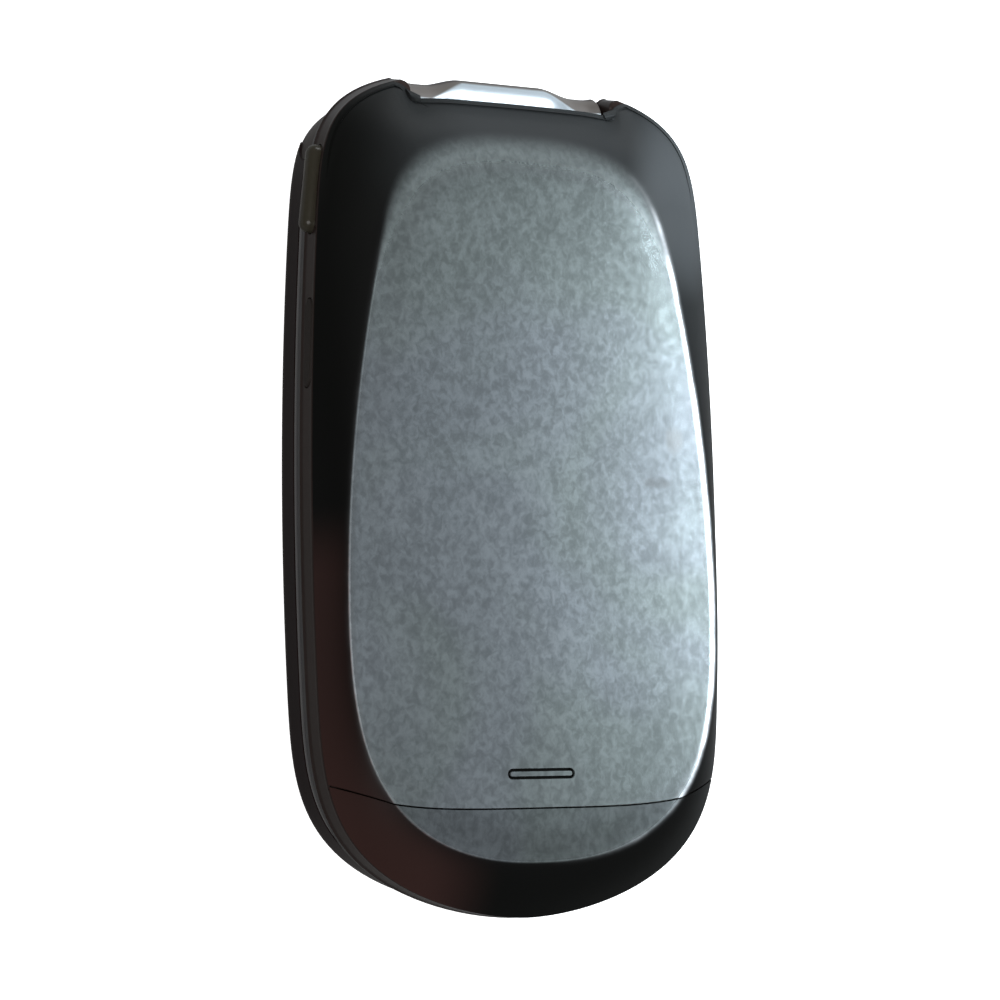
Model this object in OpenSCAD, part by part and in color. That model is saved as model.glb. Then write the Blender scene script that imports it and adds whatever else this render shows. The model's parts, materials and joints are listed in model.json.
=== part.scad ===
// Flip phone, closed and lying on its lid, with the back uppermost.
// X runs across, Y towards the hinge, Z up out of the back.
// The origin is the centre of the footprint, on the lid's outer face.

/* [Body] */
// Overall length, from the bottom end to the hinge barrel
body_l = 96.6; // [92:0.2:104]
// Width of the base half at its widest
body_w = 50.4; // [48:0.2:56]
// Thickness of the closed phone
body_t = 17.2; // [16.6:0.1:19]
// Thickness of the lid half
lid_t = 7.7; // [7.2:0.1:8.4]
// Gap between the closed halves
split_gap = 0.4; // [0.3:0.05:0.6]
// How far the lid's rim stays inside the base's rim
lid_inset = 0.4; // [0.2:0.05:0.8]
// How much shorter the lid is at the bottom end
lid_short = 1.3; // [0.5:0.1:2.5]
// Wall thickness of the housings
wall = 1.3; // [1.1:0.05:1.5]
// Visible groove between two housings
seam = 0.1; // [0.05:0.05:0.2]

/* [Back] */
// Height of the side band, above which the back's bevel starts
band_top = 13; // [12.8:0.1:13.4]
// Lower edge of the rear housing's band
band_low = 9.3; // [9.2:0.05:9.5]
// Shell thickness of the battery door
door_t = 0.9; // [0.7:0.05:1]
// Half width of the raised panel at mid length
panel_half_w = 21.9; // [20.5:0.1:22.4]
// Seam between battery door and antenna cover, from the bottom end
seam_from_end = 12.4; // [11:0.2:14]
// How far the seam turns up at the sides
seam_rise = 3.3; // [1:0.1:4]
// Crown of the raised panel
panel_crown = 0.15; // [0.05:0.05:0.3]
// Length of the finger grip on the door
grip_l = 8.2; // [6:0.2:12]
// Width of the finger grip
grip_w = 1.2; // [1:0.1:2]
// Depth of the finger grip
grip_depth = 0.35; // [0.2:0.05:0.45]

/* [Hinge] */
// Largest radius of the hinge barrel
barrel_r = 4.6; // [4.4:0.1:5]
// Radius of the barrel's two necks
barrel_neck_r = 3.7; // [3.5:0.1:4]
// Half length of the barrel
barrel_half_l = 12.3; // [11:0.1:14]
// Bore of the barrel
barrel_bore_r = 2.9; // [2.7:0.05:3]
// Gap at the ends of the barrel
barrel_end_gap = 0.3; // [0.2:0.05:0.5]
// Radial gap between the barrel and the base
barrel_gap = 0.4; // [0.3:0.05:0.6]
// Radius of the hinge pins
pin_r = 1.6; // [1.2:0.05:1.8]
// Radial running clearance of the pins
pin_fit = 0.05; // [0.02:0.01:0.1]
// Reach of the pins into the base's ears
pin_reach = 3.4; // [2.5:0.1:4]

/* [Keypad] */
// Bare strip on each side of the keys
keypad_side = 4.1; // [3.8:0.1:6]
// Bare strip below the keys, from the bottom end
keypad_end = 15.9; // [15:0.1:18]
// Upper edge of the number keys, from the hinge axis
numbers_from_hinge = 43.7; // [43.2:0.1:46]
// Space between two columns of keys
key_space_x = 1.6; // [1.2:0.1:2.4]
// Space between two rows of keys
key_space_y = 2; // [1.6:0.1:2.6]
// Outer radius of the navigation ring
nav_r = 9; // [8:0.2:9.6]
// Radius of the middle key
ok_r = 3.8; // [3.2:0.1:4.2]
// Centre of the navigation ring, from the hinge axis
nav_from_hinge = 25; // [24:0.2:26]
// Gap round each key
key_gap = 0.15; // [0.1:0.05:0.25]
// Gap between the middle key and the navigation ring
ok_gap = 0.35; // [0.3:0.05:0.45]
// How far the keys stand out of the keypad
key_proud = 0.15; // [0.05:0.05:0.2]
// Key travel that the dome sheet leaves
key_travel = 0.3; // [0.2:0.05:0.35]

/* [Displays] */
// Width of the main window
window_w = 39; // [36:0.5:41]
// Main window's near end, from the hinge axis
window_from_hinge = 15; // [14.5:0.5:17]
// Main window's far end, from the phone's free end
window_from_end = 21; // [20.5:0.5:24]
// Thickness of the windows
window_t = 0.8; // [0.6:0.1:0.9]
// Bezel width between window edge and display
bezel = 2.4; // [2:0.1:4]
// Width of the outer window
outer_window_w = 24; // [20:0.5:27]
// Length of the outer window
outer_window_l = 35; // [32:0.5:38]
// Gap round the windows
window_gap = 0.1; // [0.05:0.05:0.2]

/* [Side controls] */
// Length of the volume rocker
rocker_l = 10.2; // [8:0.2:12]
// Height of the volume rocker
rocker_h = 2.4; // [1.8:0.1:2.6]
// How far the rocker stands out
rocker_proud = 1.2; // [0.8:0.1:1.6]
// Middle of the rocker, from the hinge axis
rocker_from_hinge = 10.2; // [9.6:0.2:12]
// Length of the socket cover
port_l = 10; // [8:0.2:12]
// Height of the socket cover
port_h = 2.3; // [1.8:0.1:2.5]
// Middle of the socket cover, from the hinge axis
port_from_hinge = 27.8; // [26:0.2:32]
// Gap round the side controls
side_gap = 0.12; // [0.1:0.01:0.2]

/* [Inside] */
// Battery length
battery_l = 50; // [44:1:52]
// Battery width
battery_w = 32.6; // [28:0.2:33]
// Battery's lower end, from the bottom end of the phone
battery_from_end = 23; // [22:0.5:26]
// Circuit board thickness
board_t = 0.8; // [0.6:0.1:0.9]
// Room between parts that only lie next to each other
rest_gap = 0.1; // [0.05:0.05:0.15]

/* [Hidden] */
$fn = 48;

// ---- Heights and reference places ----
y_end = -body_l / 2;
y_hinge = body_l / 2 - barrel_r;
z_hinge = lid_t + split_gap / 2;
base_z = lid_t + split_gap;
ear_reach = 6;
y_top = y_hinge + ear_reach;
y_mid = (y_end + y_top) / 2;
half_l = (y_top - y_end) / 2;
run_gap = 0.3;
neck_gap = 0.2;
edge_r = 0.25;

// ---- Outline in plan ----
// The sides taper and bow by these shares. Each end closes in its own rounded cap, which
// has a length, the power of the run along it and the root that shapes its corner.
side_taper = 0.013;
side_bow = 0.091;
low_cap = 28.3;
low_power = 4.2;
low_root = 1.73;
high_cap = 27.3;
high_power = 6.5;
high_root = 1.43;
high_side = 3;
panel_taper = 4;
panel_bow = 6.5;
panel_end_gap = 6.3;
panel_hinge_gap = 3.5;
panel_cap_from = 21.2;
panel_low_power = 5.8;
panel_low_root = 2.32;
panel_high_power = 5.4;
panel_high_root = 3.05;
panel_low = y_end + panel_end_gap;
panel_high = y_hinge - panel_hinge_gap;
steps = 24;
ear_swell = 0.6;
ear_tuck = 0.5;
ear_corner = 1.2;
notch_fillet = 0.5;
notch_half = barrel_half_l + barrel_end_gap;

// Closing of an end cap: 1 where it starts and 0 at its tip
function cap(t, n, m) = t <= 0 ? 1 : pow(max(0, 1 - pow(min(t, 1), n)), 1 / m);
function side_w(y) = let(u = (y - y_mid) / half_l)
    body_w / 2 * (1 - side_taper * u - side_bow * u * u);
// Half width at y for an outline drawn in by e that ends at low and high
function out_w(y, e, low, high) = (side_w(y) - e)
    * cap((y_end + low_cap - y) / (y_end + low_cap - low), low_power, low_root)
    * cap((y - y_top + high_cap) / (high - y_top + high_cap), high_power, high_root);
// Where the upper cap of that outline reaches the half width x
function out_y(x, e, high) = let(w = side_w(y_top - high_side) - e,
    t = pow(1 - pow(x / w, high_root), 1 / high_power))
    y_top - high_cap + t * (high - y_top + high_cap);
function panel_side(u) = panel_half_w - panel_taper * u - panel_bow * u * u;
function panel_w(y) = panel_side((y - y_mid) / half_l)
    * cap((y_mid - y) / (y_mid - panel_low), panel_low_power, panel_low_root)
    * cap((y - y_mid - panel_cap_from) / (panel_high - y_mid - panel_cap_from),
        panel_high_power, panel_high_root);
function panel_y(x) = let(w = panel_side((panel_high - y_mid) / half_l),
    t = pow(1 - pow(x / w, panel_high_root), 1 / panel_high_power))
    y_mid + panel_cap_from + t * (panel_high - y_mid - panel_cap_from);
function arc(cx, cy, r, a0, a1, n) =
    [for (i = [0:n]) let(a = a0 + (a1 - a0) * i / n) [cx + r * cos(a), cy + r * sin(a)]];
function mirrored(half) = concat(half, [for (i = [len(half) - 2:-1:1]) [-half[i].x, half[i].y]]);
function at_z(points, z) = [for (p = points) [p.x, p.y, z]];

// Base outline: both ears and the notch for the barrel between them
notch_r = barrel_r + barrel_gap;
function ear_high(z) = y_top + ear_swell
    - (ear_swell + ear_tuck) * max(0, z - band_low) / (band_top - band_low);
function notch_floor(z) = y_hinge - sqrt(max(0, notch_r * notch_r - pow(z - z_hinge, 2)));
function base_half(z, e, inner = 0) = let(low = y_end + e, high = ear_high(z) - e,
    xn = notch_half + inner, yf = notch_floor(z) - e, c = max(ear_corner / 4, ear_corner - e / 2),
    ye = out_y(xn + c, e, high), ym = (low + high) / 2, hl = (high - low) / 2,
    a1 = asin((ye - ym) / hl))
    concat([for (i = [0:steps]) let(y = ym + hl * sin(-90 + (a1 + 90) * i / steps))
        [out_w(y, e, low, high), y]],
    arc(xn + c, ye - c, c, 120, 180, 2),
    arc(xn - notch_fillet, yf + notch_fillet, notch_fillet, 0, -90, 2), [[0, yf]]);
function base_ring(z, e, inner = 0) = at_z(mirrored(base_half(z, e, inner)), z);

// Lid outline: shoulders scooped round the ears, and a neck that carries the barrel
ear_sweep = norm([out_y(notch_half + ear_corner, 0, y_top - ear_tuck) - y_hinge,
    band_top + seam - z_hinge]);
scoop_r = ear_sweep + run_gap;
lid_lip_gap = 2.6;
lid_corner = 0.35;
lip_end = y_hinge - lid_lip_gap;
neck_r = barrel_r + neck_gap;
function shoulder_y(z) = min(lip_end,
    y_hinge - sqrt(max(0, scoop_r * scoop_r - pow(z - z_hinge, 2))));
function neck_y(z) = y_hinge - sqrt(max(0, neck_r * neck_r - pow(z - z_hinge, 2)));
function lid_half(z, e, inner = 0) = let(low = y_end + lid_short + e, high = y_top - e,
    ys = shoulder_y(z) - e + lid_inset, yn = neck_y(z) - e + lid_inset,
    xn = barrel_half_l - inner, c = lid_corner, hl = (high - low) / 2, ym = (low + high) / 2,
    a1 = asin((ys - c - ym) / hl), w = out_w(ys - c, e, low, high))
    concat([for (i = [0:steps]) let(y = ym + hl * sin(-90 + (a1 + 90) * i / steps))
        [out_w(y, e, low, high), y]],
    arc(w - c, ys - c, c, 30, 90, 2),
    arc(xn + c, ys + c, c, -90, -180, 2),
    arc(xn - c, yn - c, c, 0, 90, 2), [[0, yn]]);
function lid_ring(z, e, inner = 0) = at_z(mirrored(lid_half(z, e, inner)), z);

// Closed solid through a list of rings, from its lower cap to its upper one
module skin(rings) {
    n = len(rings[0]);
    m = len(rings);
    sides = [for (j = [0:m - 2], i = [0:n - 1]) let(k = (i + 1) % n, a = j * n)
        each [[a + i, a + n + i, a + n + k], [a + i, a + n + k, a + k]]];
    low_cap_face = [for (i = [0:n - 1]) i];
    high_cap_face = [for (i = [n - 1:-1:0]) (m - 1) * n + i];
    polyhedron([for (r = rings) each r], concat(sides, [low_cap_face, high_cap_face]));
}

// ---- Back shell: bevel from the band up to the raised panel ----
bevel_cols = 3;
panel_cols = 3;
cols = bevel_cols + panel_cols;
bevel_lean = 0.6;
seam_fade_rows = 5;
crease_wall = 0.4;
function bevel(t) = bevel_lean * t + (1 - bevel_lean) * (1 - pow(1 - t, 2));
function bend(x) = seam_rise * pow(abs(x) / (body_w / 2), 4);
seam_y = y_end + seam_from_end;
back_low = band_top + seam;
notch_edge_y = y_hinge + 0.4;
notch_edge_z = 1;
notch_corner = 0.4;
edge_in = 0.15;

// Edge and crease points of a door row list, drawn in by e for the inner face
function door_edge(e, z_notch) = let(y0 = seam_y + seam / 2 + bend(side_w(seam_y)),
    high = ear_high(back_low) - e, xn = notch_half + (e > edge_in ? e : 0), c = ear_corner,
    ye = out_y(xn + c, e, high))
    concat([for (i = [0:steps]) let(y = y0 + (ye - y0) * sin(90 * i / steps))
        [out_w(y, e, y_end + e, high), y, back_low]],
    [for (p = arc(xn + c, ye - c, c, 120, 180, 2)) [p.x, p.y, back_low]],
    [for (i = [0:4]) [xn * (1 - i / 4),
        notch_edge_y - (i == 0 ? notch_corner : 0) - (e > edge_in ? e : 0),
        back_low + z_notch * (i == 0 ? 0.4 : 1)]]);
function door_crease(e) = let(y0 = seam_y + seam / 2 + bend(panel_w(seam_y)),
    x1 = notch_half, y1 = panel_y(x1))
    concat([for (i = [0:steps]) let(y = y0 + (y1 - y0) * sin(90 * i / steps))
        [panel_w(y) - e, y]],
    [for (i = [1:8]) let(x = x1 * (1 - i / 8)) [x, panel_y(x) - e]]);
function chin_edge(e) = let(y0 = seam_y - seam / 2 + bend(side_w(seam_y)), low = y_end + e)
    [for (i = [0:steps]) let(y = y0 - (y0 - low) * sin(90 * i / steps))
        [out_w(y, e, low, y_top), y, back_low]];
function chin_crease(e) = let(y0 = seam_y - seam / 2 + bend(panel_w(seam_y)))
    [for (i = [0:steps]) let(y = y0 - (y0 - panel_low - e) * sin(90 * i / steps))
        [max(0, panel_w(y) - e * cap(i / steps, 4, 1)), y]];
// One face of the shell as rows of points, left to right
function face_rows(edge, crease, top) = let(last = len(edge) - 1)
    [for (j = [0:last], k = [-cols:cols]) let(a = j == last ? cols - abs(k) : 0,
        s = k < 0 ? -1 : 1, q = abs(k), p0 = edge[j], p1 = crease[j],
        fade = max(0, 1 - j / seam_fade_rows), t = (cols - q) / bevel_cols,
        x = q >= panel_cols ? p0.x + (p1.x - p0.x) * t : p1.x * q / panel_cols,
        y = q >= panel_cols ? p0.y + (p1.y - p0.y) * t
            : p1.y - (bend(p1.x) - bend(x)) * fade,
        crown = panel_crown * (1 - pow(q / panel_cols, 2)) * p1.x / panel_half_w,
        z = q >= panel_cols ? p0.z + (top - p0.z) * bevel(t) : top + crown)
        [s * x, y, z]];
// The rows close on themselves along the centre line of the last row
module back_shell(outer, inner, flip) {
    n = 2 * cols + 1;
    last = len(outer) / n - 1;
    total = len(outer);
    function id(layer, j, k) = let(q = j < last ? k : abs(k) <= panel_cols ? 0 : abs(k))
        layer * total + j * n + q + cols;
    function quad(a, b, c, d) = flip ? [[a, c, b], [a, d, c]] : [[a, b, c], [a, c, d]];
    faces = concat(
        [for (j = [0:last - 1], k = [-cols:cols - 1])
            each quad(id(0, j, k), id(0, j + 1, k), id(0, j + 1, k + 1), id(0, j, k + 1))],
        [for (j = [0:last - 1], k = [-cols:cols - 1])
            each quad(id(1, j, k), id(1, j, k + 1), id(1, j + 1, k + 1), id(1, j + 1, k))],
        [for (k = [-cols:cols - 1])
            each quad(id(0, 0, k), id(0, 0, k + 1), id(1, 0, k + 1), id(1, 0, k))],
        [for (j = [0:last - 1])
            each quad(id(0, j, -cols), id(1, j, -cols), id(1, j + 1, -cols), id(0, j + 1, -cols))],
        [for (j = [0:last - 1])
            each quad(id(0, j, cols), id(0, j + 1, cols), id(1, j + 1, cols), id(1, j, cols))]);
    polyhedron(concat(outer, inner),
        [for (f = faces) if (f[0] != f[1] && f[1] != f[2] && f[0] != f[2]) f]);
}

// ---- Plain shapes ----
function rr_points(w, l, r, n = 5) = concat(arc(w / 2 - r, l / 2 - r, r, 0, 90, n),
    arc(r - w / 2, l / 2 - r, r, 90, 180, n), arc(r - w / 2, r - l / 2, r, 180, 270, n),
    arc(w / 2 - r, r - l / 2, r, 270, 360, n));
module plate(x, y, z0, z1, w, l, r) {
    translate([x, y, z0]) linear_extrude(z1 - z0) polygon(rr_points(w, l, r));
}
module post(x, y, z0, z1, r) {
    translate([x, y, z0]) cylinder(r = r, h = z1 - z0);
}
module x_rod(x0, x1, r) {
    translate([x0, y_hinge, z_hinge]) rotate([0, 90, 0]) cylinder(r = r, h = x1 - x0);
}

// ---- Lid heights ----
rim_z = lid_t - 1.4;
frame_low = rim_z + rest_gap / 2;
floor_z = wall;
lid_board_z = 2.8;
display_low = lid_board_z + board_t + rest_gap;
window_high = y_hinge - window_from_hinge;
window_low = y_end + window_from_end;
window_l = window_high - window_low;
window_y = (window_high + window_low) / 2;
outer_window_from_hinge = 25;
outer_window_y = y_hinge - outer_window_from_hinge;
outer_window_corner = 4;
outer_bezel = 3;
camera_r = 2.4;
camera_from_edge = 5.2;
camera_cell = 7;
camera_y = outer_window_y + outer_window_l / 2 - camera_from_edge;
outer_display_w = outer_window_w - outer_bezel;
outer_display_l = outer_window_l - outer_bezel - camera_from_edge - camera_cell / 2 - 1.3;
outer_display_y = camera_y - camera_cell / 2 - 2.5 - outer_display_l / 2;
speaker_from_end = 6.4;
speaker_y = y_end + lid_short + speaker_from_end;
speaker_r = 4.5;
lid_board_side = 5.2;
lid_board_from_hinge = 17.6;
lid_board_from_end = 13.1;
lid_board_corner = 1.5;
lid_board_w = body_w - 2 * lid_board_side;
lid_board_high = y_hinge - lid_board_from_hinge;
lid_board_low = y_end + lid_short + lid_board_from_end;
pad_r = 1.4;
pad_t = 0.8;
screw_r = 0.7;
screw_head_r = 1.3;
screw_fit = 0.05;
screw_low_x = body_w / 2 - 8.2;
screw_high_x = body_w / 2 - 5.2;
screw_low_y = speaker_y + 3;
screw_high_y = y_hinge - 11;
lid_screws_at = [[screw_low_x, screw_low_y], [-screw_low_x, screw_low_y],
    [screw_high_x, screw_high_y], [-screw_high_x, screw_high_y]];
pad_z = lid_t + split_gap - rest_gap - pad_t;
screw_head_t = 0.5;
screw_head_z = pad_z - screw_head_t;
frame_seat = screw_head_z;
lid_boss_r = 1.9;
lid_round_w = 3.4;
lid_round_h = 2.6;
display_hole = 1.5;
// Levels at which the neck's hollow follows the barrel closely
neck_levels = concat([for (a = [0:18:54]) z_hinge - neck_r * cos(a)], [rim_z]);

module lid_front_cover() {
    e = lid_inset;
    color("#15161a") difference() {
        union() {
            skin(concat([for (a = [0:22.5:90])
                    lid_ring(lid_round_h * (1 - cos(a)), e + lid_round_w * (1 - sin(a)))],
                [for (z = neck_levels) lid_ring(z, e)],
                [for (i = [len(neck_levels) - 1:-1:0]) lid_ring(neck_levels[i], e + wall, wall)],
                [lid_ring(floor_z, e + lid_round_w + edge_r, wall)]));
            for (p = lid_screws_at) post(p.x, p.y, floor_z - edge_r, rim_z - rest_gap, lid_boss_r);
        }
        for (p = lid_screws_at) post(p.x, p.y, lid_board_z + 0.4, lid_t, screw_r + screw_fit);
        plate(0, outer_window_y, -1, window_t, outer_window_w + 2 * window_gap,
            outer_window_l + 2 * window_gap, outer_window_corner);
        plate(0, outer_display_y, 0, floor_z + edge_r, outer_display_w - 2 * display_hole,
            outer_display_l - 2 * display_hole, 1);
        post(0, camera_y, 0, floor_z + edge_r, camera_r + 0.4);
        flex_slot();
    }
}

module outer_window() {
    color("#0b0c10") difference() {
        plate(0, outer_window_y, rest_gap / 2, window_t - rest_gap / 2, outer_window_w,
            outer_window_l, outer_window_corner);
        post(0, camera_y, -1, floor_z, camera_r + rest_gap);
    }
}

module outer_display() {
    color("#26303a") plate(0, outer_display_y, floor_z + rest_gap, lid_board_z - rest_gap - flex_t,
        outer_display_w, outer_display_l, 1);
}

lens_dip = 0.25;
module camera_lens() {
    color("#1c2440") translate([0, camera_y, rest_gap / 2]) rotate_extrude()
        polygon([[0, lens_dip], [camera_r * 0.4, lens_dip * 0.4], [camera_r * 0.6, 0], [camera_r, 0],
            [camera_r, floor_z], [0, floor_z]]);
}

camera_step_z = 3.4;
camera_top = 5.2;
module camera_module() {
    color("#33353a") {
        plate(0, camera_y, floor_z + rest_gap, camera_step_z, camera_cell, camera_cell, 0.6);
        post(0, camera_y, camera_step_z - edge_r / 2, camera_top, camera_r + 0.5);
    }
}

window_corner = 2;
grille_l = 9;
grille_w = 2;
grille_z = lid_t - 0.6;
module lid_inner_frame() {
    e = lid_inset;
    color("#1b1c20") difference() {
        skin([lid_ring(frame_low, e + 0.15), lid_ring(frame_low + edge_r, e),
            lid_ring(lid_t - 0.4, e), lid_ring(lid_t, e + 0.4)]);
        plate(0, window_y, 0, lid_t + 1, window_w - 2 * bezel, window_l - 2 * bezel, 1);
        plate(0, window_y, lid_t - window_t - rest_gap / 2, lid_t + 1,
            window_w + 2 * window_gap, window_l + 2 * window_gap, window_corner);
        plate(0, speaker_y, grille_z - rest_gap, lid_t + 1, grille_l + 2 * window_gap,
            grille_w + 2 * window_gap, grille_w / 2);
        plate(0, speaker_y, 0, lid_t + 1, grille_l - 2, grille_w / 2, grille_w / 5);
        for (p = lid_screws_at) {
            post(p.x, p.y, 0, lid_t + 1, screw_r + 2 * screw_fit);
            post(p.x, p.y, frame_seat, lid_t + 1, pad_r + screw_fit);
        }
    }
}

module main_window() {
    color("#0d1014") plate(0, window_y, lid_t - window_t, lid_t - rest_gap / 2,
        window_w, window_l, window_corner);
}

display_side = 1;
module main_display() {
    color("#2a3b4d") plate(0, window_y, display_low, frame_low - rest_gap,
        window_w - 2 * display_side, window_l - 4 * display_side, 1);
}

module earpiece_grille() {
    slots = 5;
    pitch = grille_l / (slots + 2);
    color("#8d9299") difference() {
        plate(0, speaker_y, grille_z, lid_t - rest_gap, grille_l, grille_w, grille_w / 2 - 0.01);
        for (i = [0:slots - 1]) plate((i - (slots - 1) / 2) * pitch, speaker_y, 0, lid_t + 1,
            pitch / 2, grille_w * 0.6, pitch / 5);
    }
}

speaker_step_z = display_low + 1.3;
module earpiece_speaker() {
    color("#3b3d42") {
        post(0, speaker_y, display_low, speaker_step_z + 0.1, speaker_r - 0.6);
        post(0, speaker_y, speaker_step_z, frame_low - rest_gap, speaker_r);
    }
}

module lid_board() {
    color("#1f6b46") plate(0, (lid_board_low + lid_board_high) / 2, lid_board_z,
        lid_board_z + board_t, lid_board_w, lid_board_high - lid_board_low, lid_board_corner);
}

motor_r = 1.9;
motor_l = 8;
motor_x = body_w / 2 - 8.2;
motor_shaft_r = 0.5;
motor_gap = 0.6;
weight_l = 2.5;
module vibration_motor() {
    face = motor_l - motor_x;
    color("#a9adb3") translate([0, camera_y, floor_z + rest_gap + motor_r]) rotate([0, 90, 0]) {
        translate([0, 0, -motor_x]) cylinder(r = motor_r, h = motor_l);
        translate([0, 0, face - rest_gap]) cylinder(r = motor_shaft_r, h = motor_gap + 2 * rest_gap);
        translate([0, 0, face + motor_gap]) intersection() {
            cylinder(r = motor_r - rest_gap, h = weight_l);
            translate([-motor_r, -motor_r, 0]) cube([2 * motor_r, motor_r, weight_l]);
        }
    }
}

module lid_bumpers() {
    color("#2b2c2f") for (p = lid_screws_at) post(p.x, p.y, pad_z, pad_z + pad_t, pad_r);
}

screw_slot = [1.4, 0.3, 0.5];
module screw(x, y, z_tip, z_head, head_t) {
    color("#b9bcc2") difference() {
        union() {
            post(x, y, z_tip, z_head + rest_gap, screw_r);
            post(x, y, z_head, z_head + head_t, screw_head_r);
        }
        for (a = [0, 90]) translate([x, y, z_head + head_t]) rotate(a) cube(screw_slot, center = true);
    }
}

module lid_screws() {
    for (p = lid_screws_at)
        screw(p.x, p.y, lid_board_z + board_t, screw_head_z, screw_head_t - rest_gap / 2);
}

// ---- Hinge ----
flex_w = 3.6;
flex_t = 0.15;
flex_x = 4.2;
flex_fit = 0.2;
flex_r = barrel_bore_r - 0.35;
slot_h = 1.2;
slot_z = z_hinge - 3.4;
slot_l = barrel_r + 3;

module flex_slot() {
    translate([flex_x - flex_fit, y_hinge - slot_l, slot_z]) cube([flex_w + 2 * flex_fit, slot_l, slot_h]);
}

// Outer curve of the barrel: a proud middle, two necks and a small swell at each end
barrel_flat = 5;
barrel_slope = 4.5;
swell_l = 1.6;
swell_h = 0.25;
function barrel_radius(x) = let(a = abs(x), t = min(1, max(0, (a - barrel_flat) / barrel_slope)),
    s = t * t * (3 - 2 * t), f = max(0, (a - barrel_half_l + swell_l) / swell_l))
    barrel_r - (barrel_r - barrel_neck_r) * s + swell_h * f * f;
module hinge_barrel() {
    n = 36;
    outer = [for (i = [0:n]) let(x = -barrel_half_l + 2 * barrel_half_l * i / n)
        [barrel_radius(x), x]];
    color("#1d1f24") difference() {
        translate([0, y_hinge, z_hinge]) rotate([0, 90, 0]) rotate_extrude()
            polygon(concat(outer, [[barrel_bore_r, barrel_half_l], [barrel_bore_r, -barrel_half_l]]));
        flex_slot();
    }
}

cartridge_end = 1;
module hinge_cartridge() {
    x0 = -barrel_half_l;
    color("#9a9da3") {
        x_rod(x0, cartridge_end, barrel_bore_r - pin_fit);
        x_rod(x0 - barrel_end_gap - pin_reach, x0 + 1, pin_r);
    }
}

shaft_collar = 2.4;
shaft_l = 4;
shaft_wall = 0.6;
module hinge_shaft() {
    x1 = barrel_half_l;
    color("#8b8e94") difference() {
        union() {
            x_rod(x1 - shaft_collar, x1, barrel_bore_r - pin_fit);
            x_rod(x1 - shaft_l, x1 + barrel_end_gap + pin_reach, pin_r);
        }
        x_rod(x1 - shaft_l - 1, x1 + barrel_end_gap + pin_reach + 1, pin_r - shaft_wall);
    }
}

// Ribbon that leaves the lid's board and coils inside the barrel
module flex_run(points) {
    for (i = [0:len(points) - 2]) let(p = points[i], q = points[i + 1], d = q - p)
        translate([flex_x, p.x, p.y]) rotate([atan2(d.y, d.x), 0, 0])
            cube([flex_w, norm(d) + 0.02, flex_t]);
}
module display_flex() {
    turn = [for (a = [-100:-20:-380]) [y_hinge, z_hinge] + flex_r * [cos(a), sin(a)]];
    low = lid_board_z - 0.02 - flex_t;
    tail = 1.6;
    lead = 4;
    color("#c98b3a") flex_run(concat([[lid_board_high - tail, low], [lid_board_high + 1, low],
        [y_hinge - slot_l - 0.4, slot_z + slot_h / 3], [y_hinge - lead, slot_z + 0.4 * slot_h]], turn));
}

// ---- Base heights ----
plate_t = 0.9;
plate_top = base_z + plate_t;
thin_gap = 0.05;
flange_z = plate_top + thin_gap;
flange_t = 0.2;
dome_z = flange_z + flange_t + key_travel + thin_gap;
dome_t = 0.12;
board_z = dome_z + dome_t + thin_gap;
board_top = board_z + board_t;
deck_t = 0.5;
deck_top = band_top - 0.6;
deck_z = deck_top - deck_t;
can_top = deck_z - rest_gap;
battery_low = deck_top + rest_gap;
battery_top = body_t - door_t - panel_crown - rest_gap;
battery_y = y_end + battery_from_end + battery_l / 2;
base_screw_high_side = 8;
base_screw_low_side = 10.2;
base_screw_from_hinge = 13.5;
base_screw_from_end = 9;
base_screw_high_x = body_w / 2 - base_screw_high_side;
base_screw_low_x = body_w / 2 - base_screw_low_side;
base_screw_high_y = y_hinge - base_screw_from_hinge;
base_screw_low_y = y_end + base_screw_from_end;
base_screws_at = [[base_screw_high_x, base_screw_high_y], [-base_screw_high_x, base_screw_high_y],
    [base_screw_low_x, base_screw_low_y], [-base_screw_low_x, base_screw_low_y]];
base_boss_r = 1.8;
boss_floor = 0.6;
boss_gap = 0.2;
ear_back = ear_sweep - thin_gap;

// Room above the split line, with the ears' lower halves turned about the hinge axis
ear_step = 0.1;
module above_split() {
    translate([-body_w, y_end - 1, base_z]) cube([2 * body_w, 2 * body_l, body_t]);
    for (s = [-1, 1]) x_rod(s > 0 ? notch_half + ear_step : -body_w,
        s > 0 ? body_w : -notch_half - ear_step, ear_back);
}

module pin_bores() {
    for (s = [-1, 1]) x_rod(s > 0 ? notch_half - 1 : -notch_half - pin_reach - rest_gap,
        s > 0 ? notch_half + pin_reach + rest_gap : -notch_half + 1, pin_r + pin_fit);
}

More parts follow.
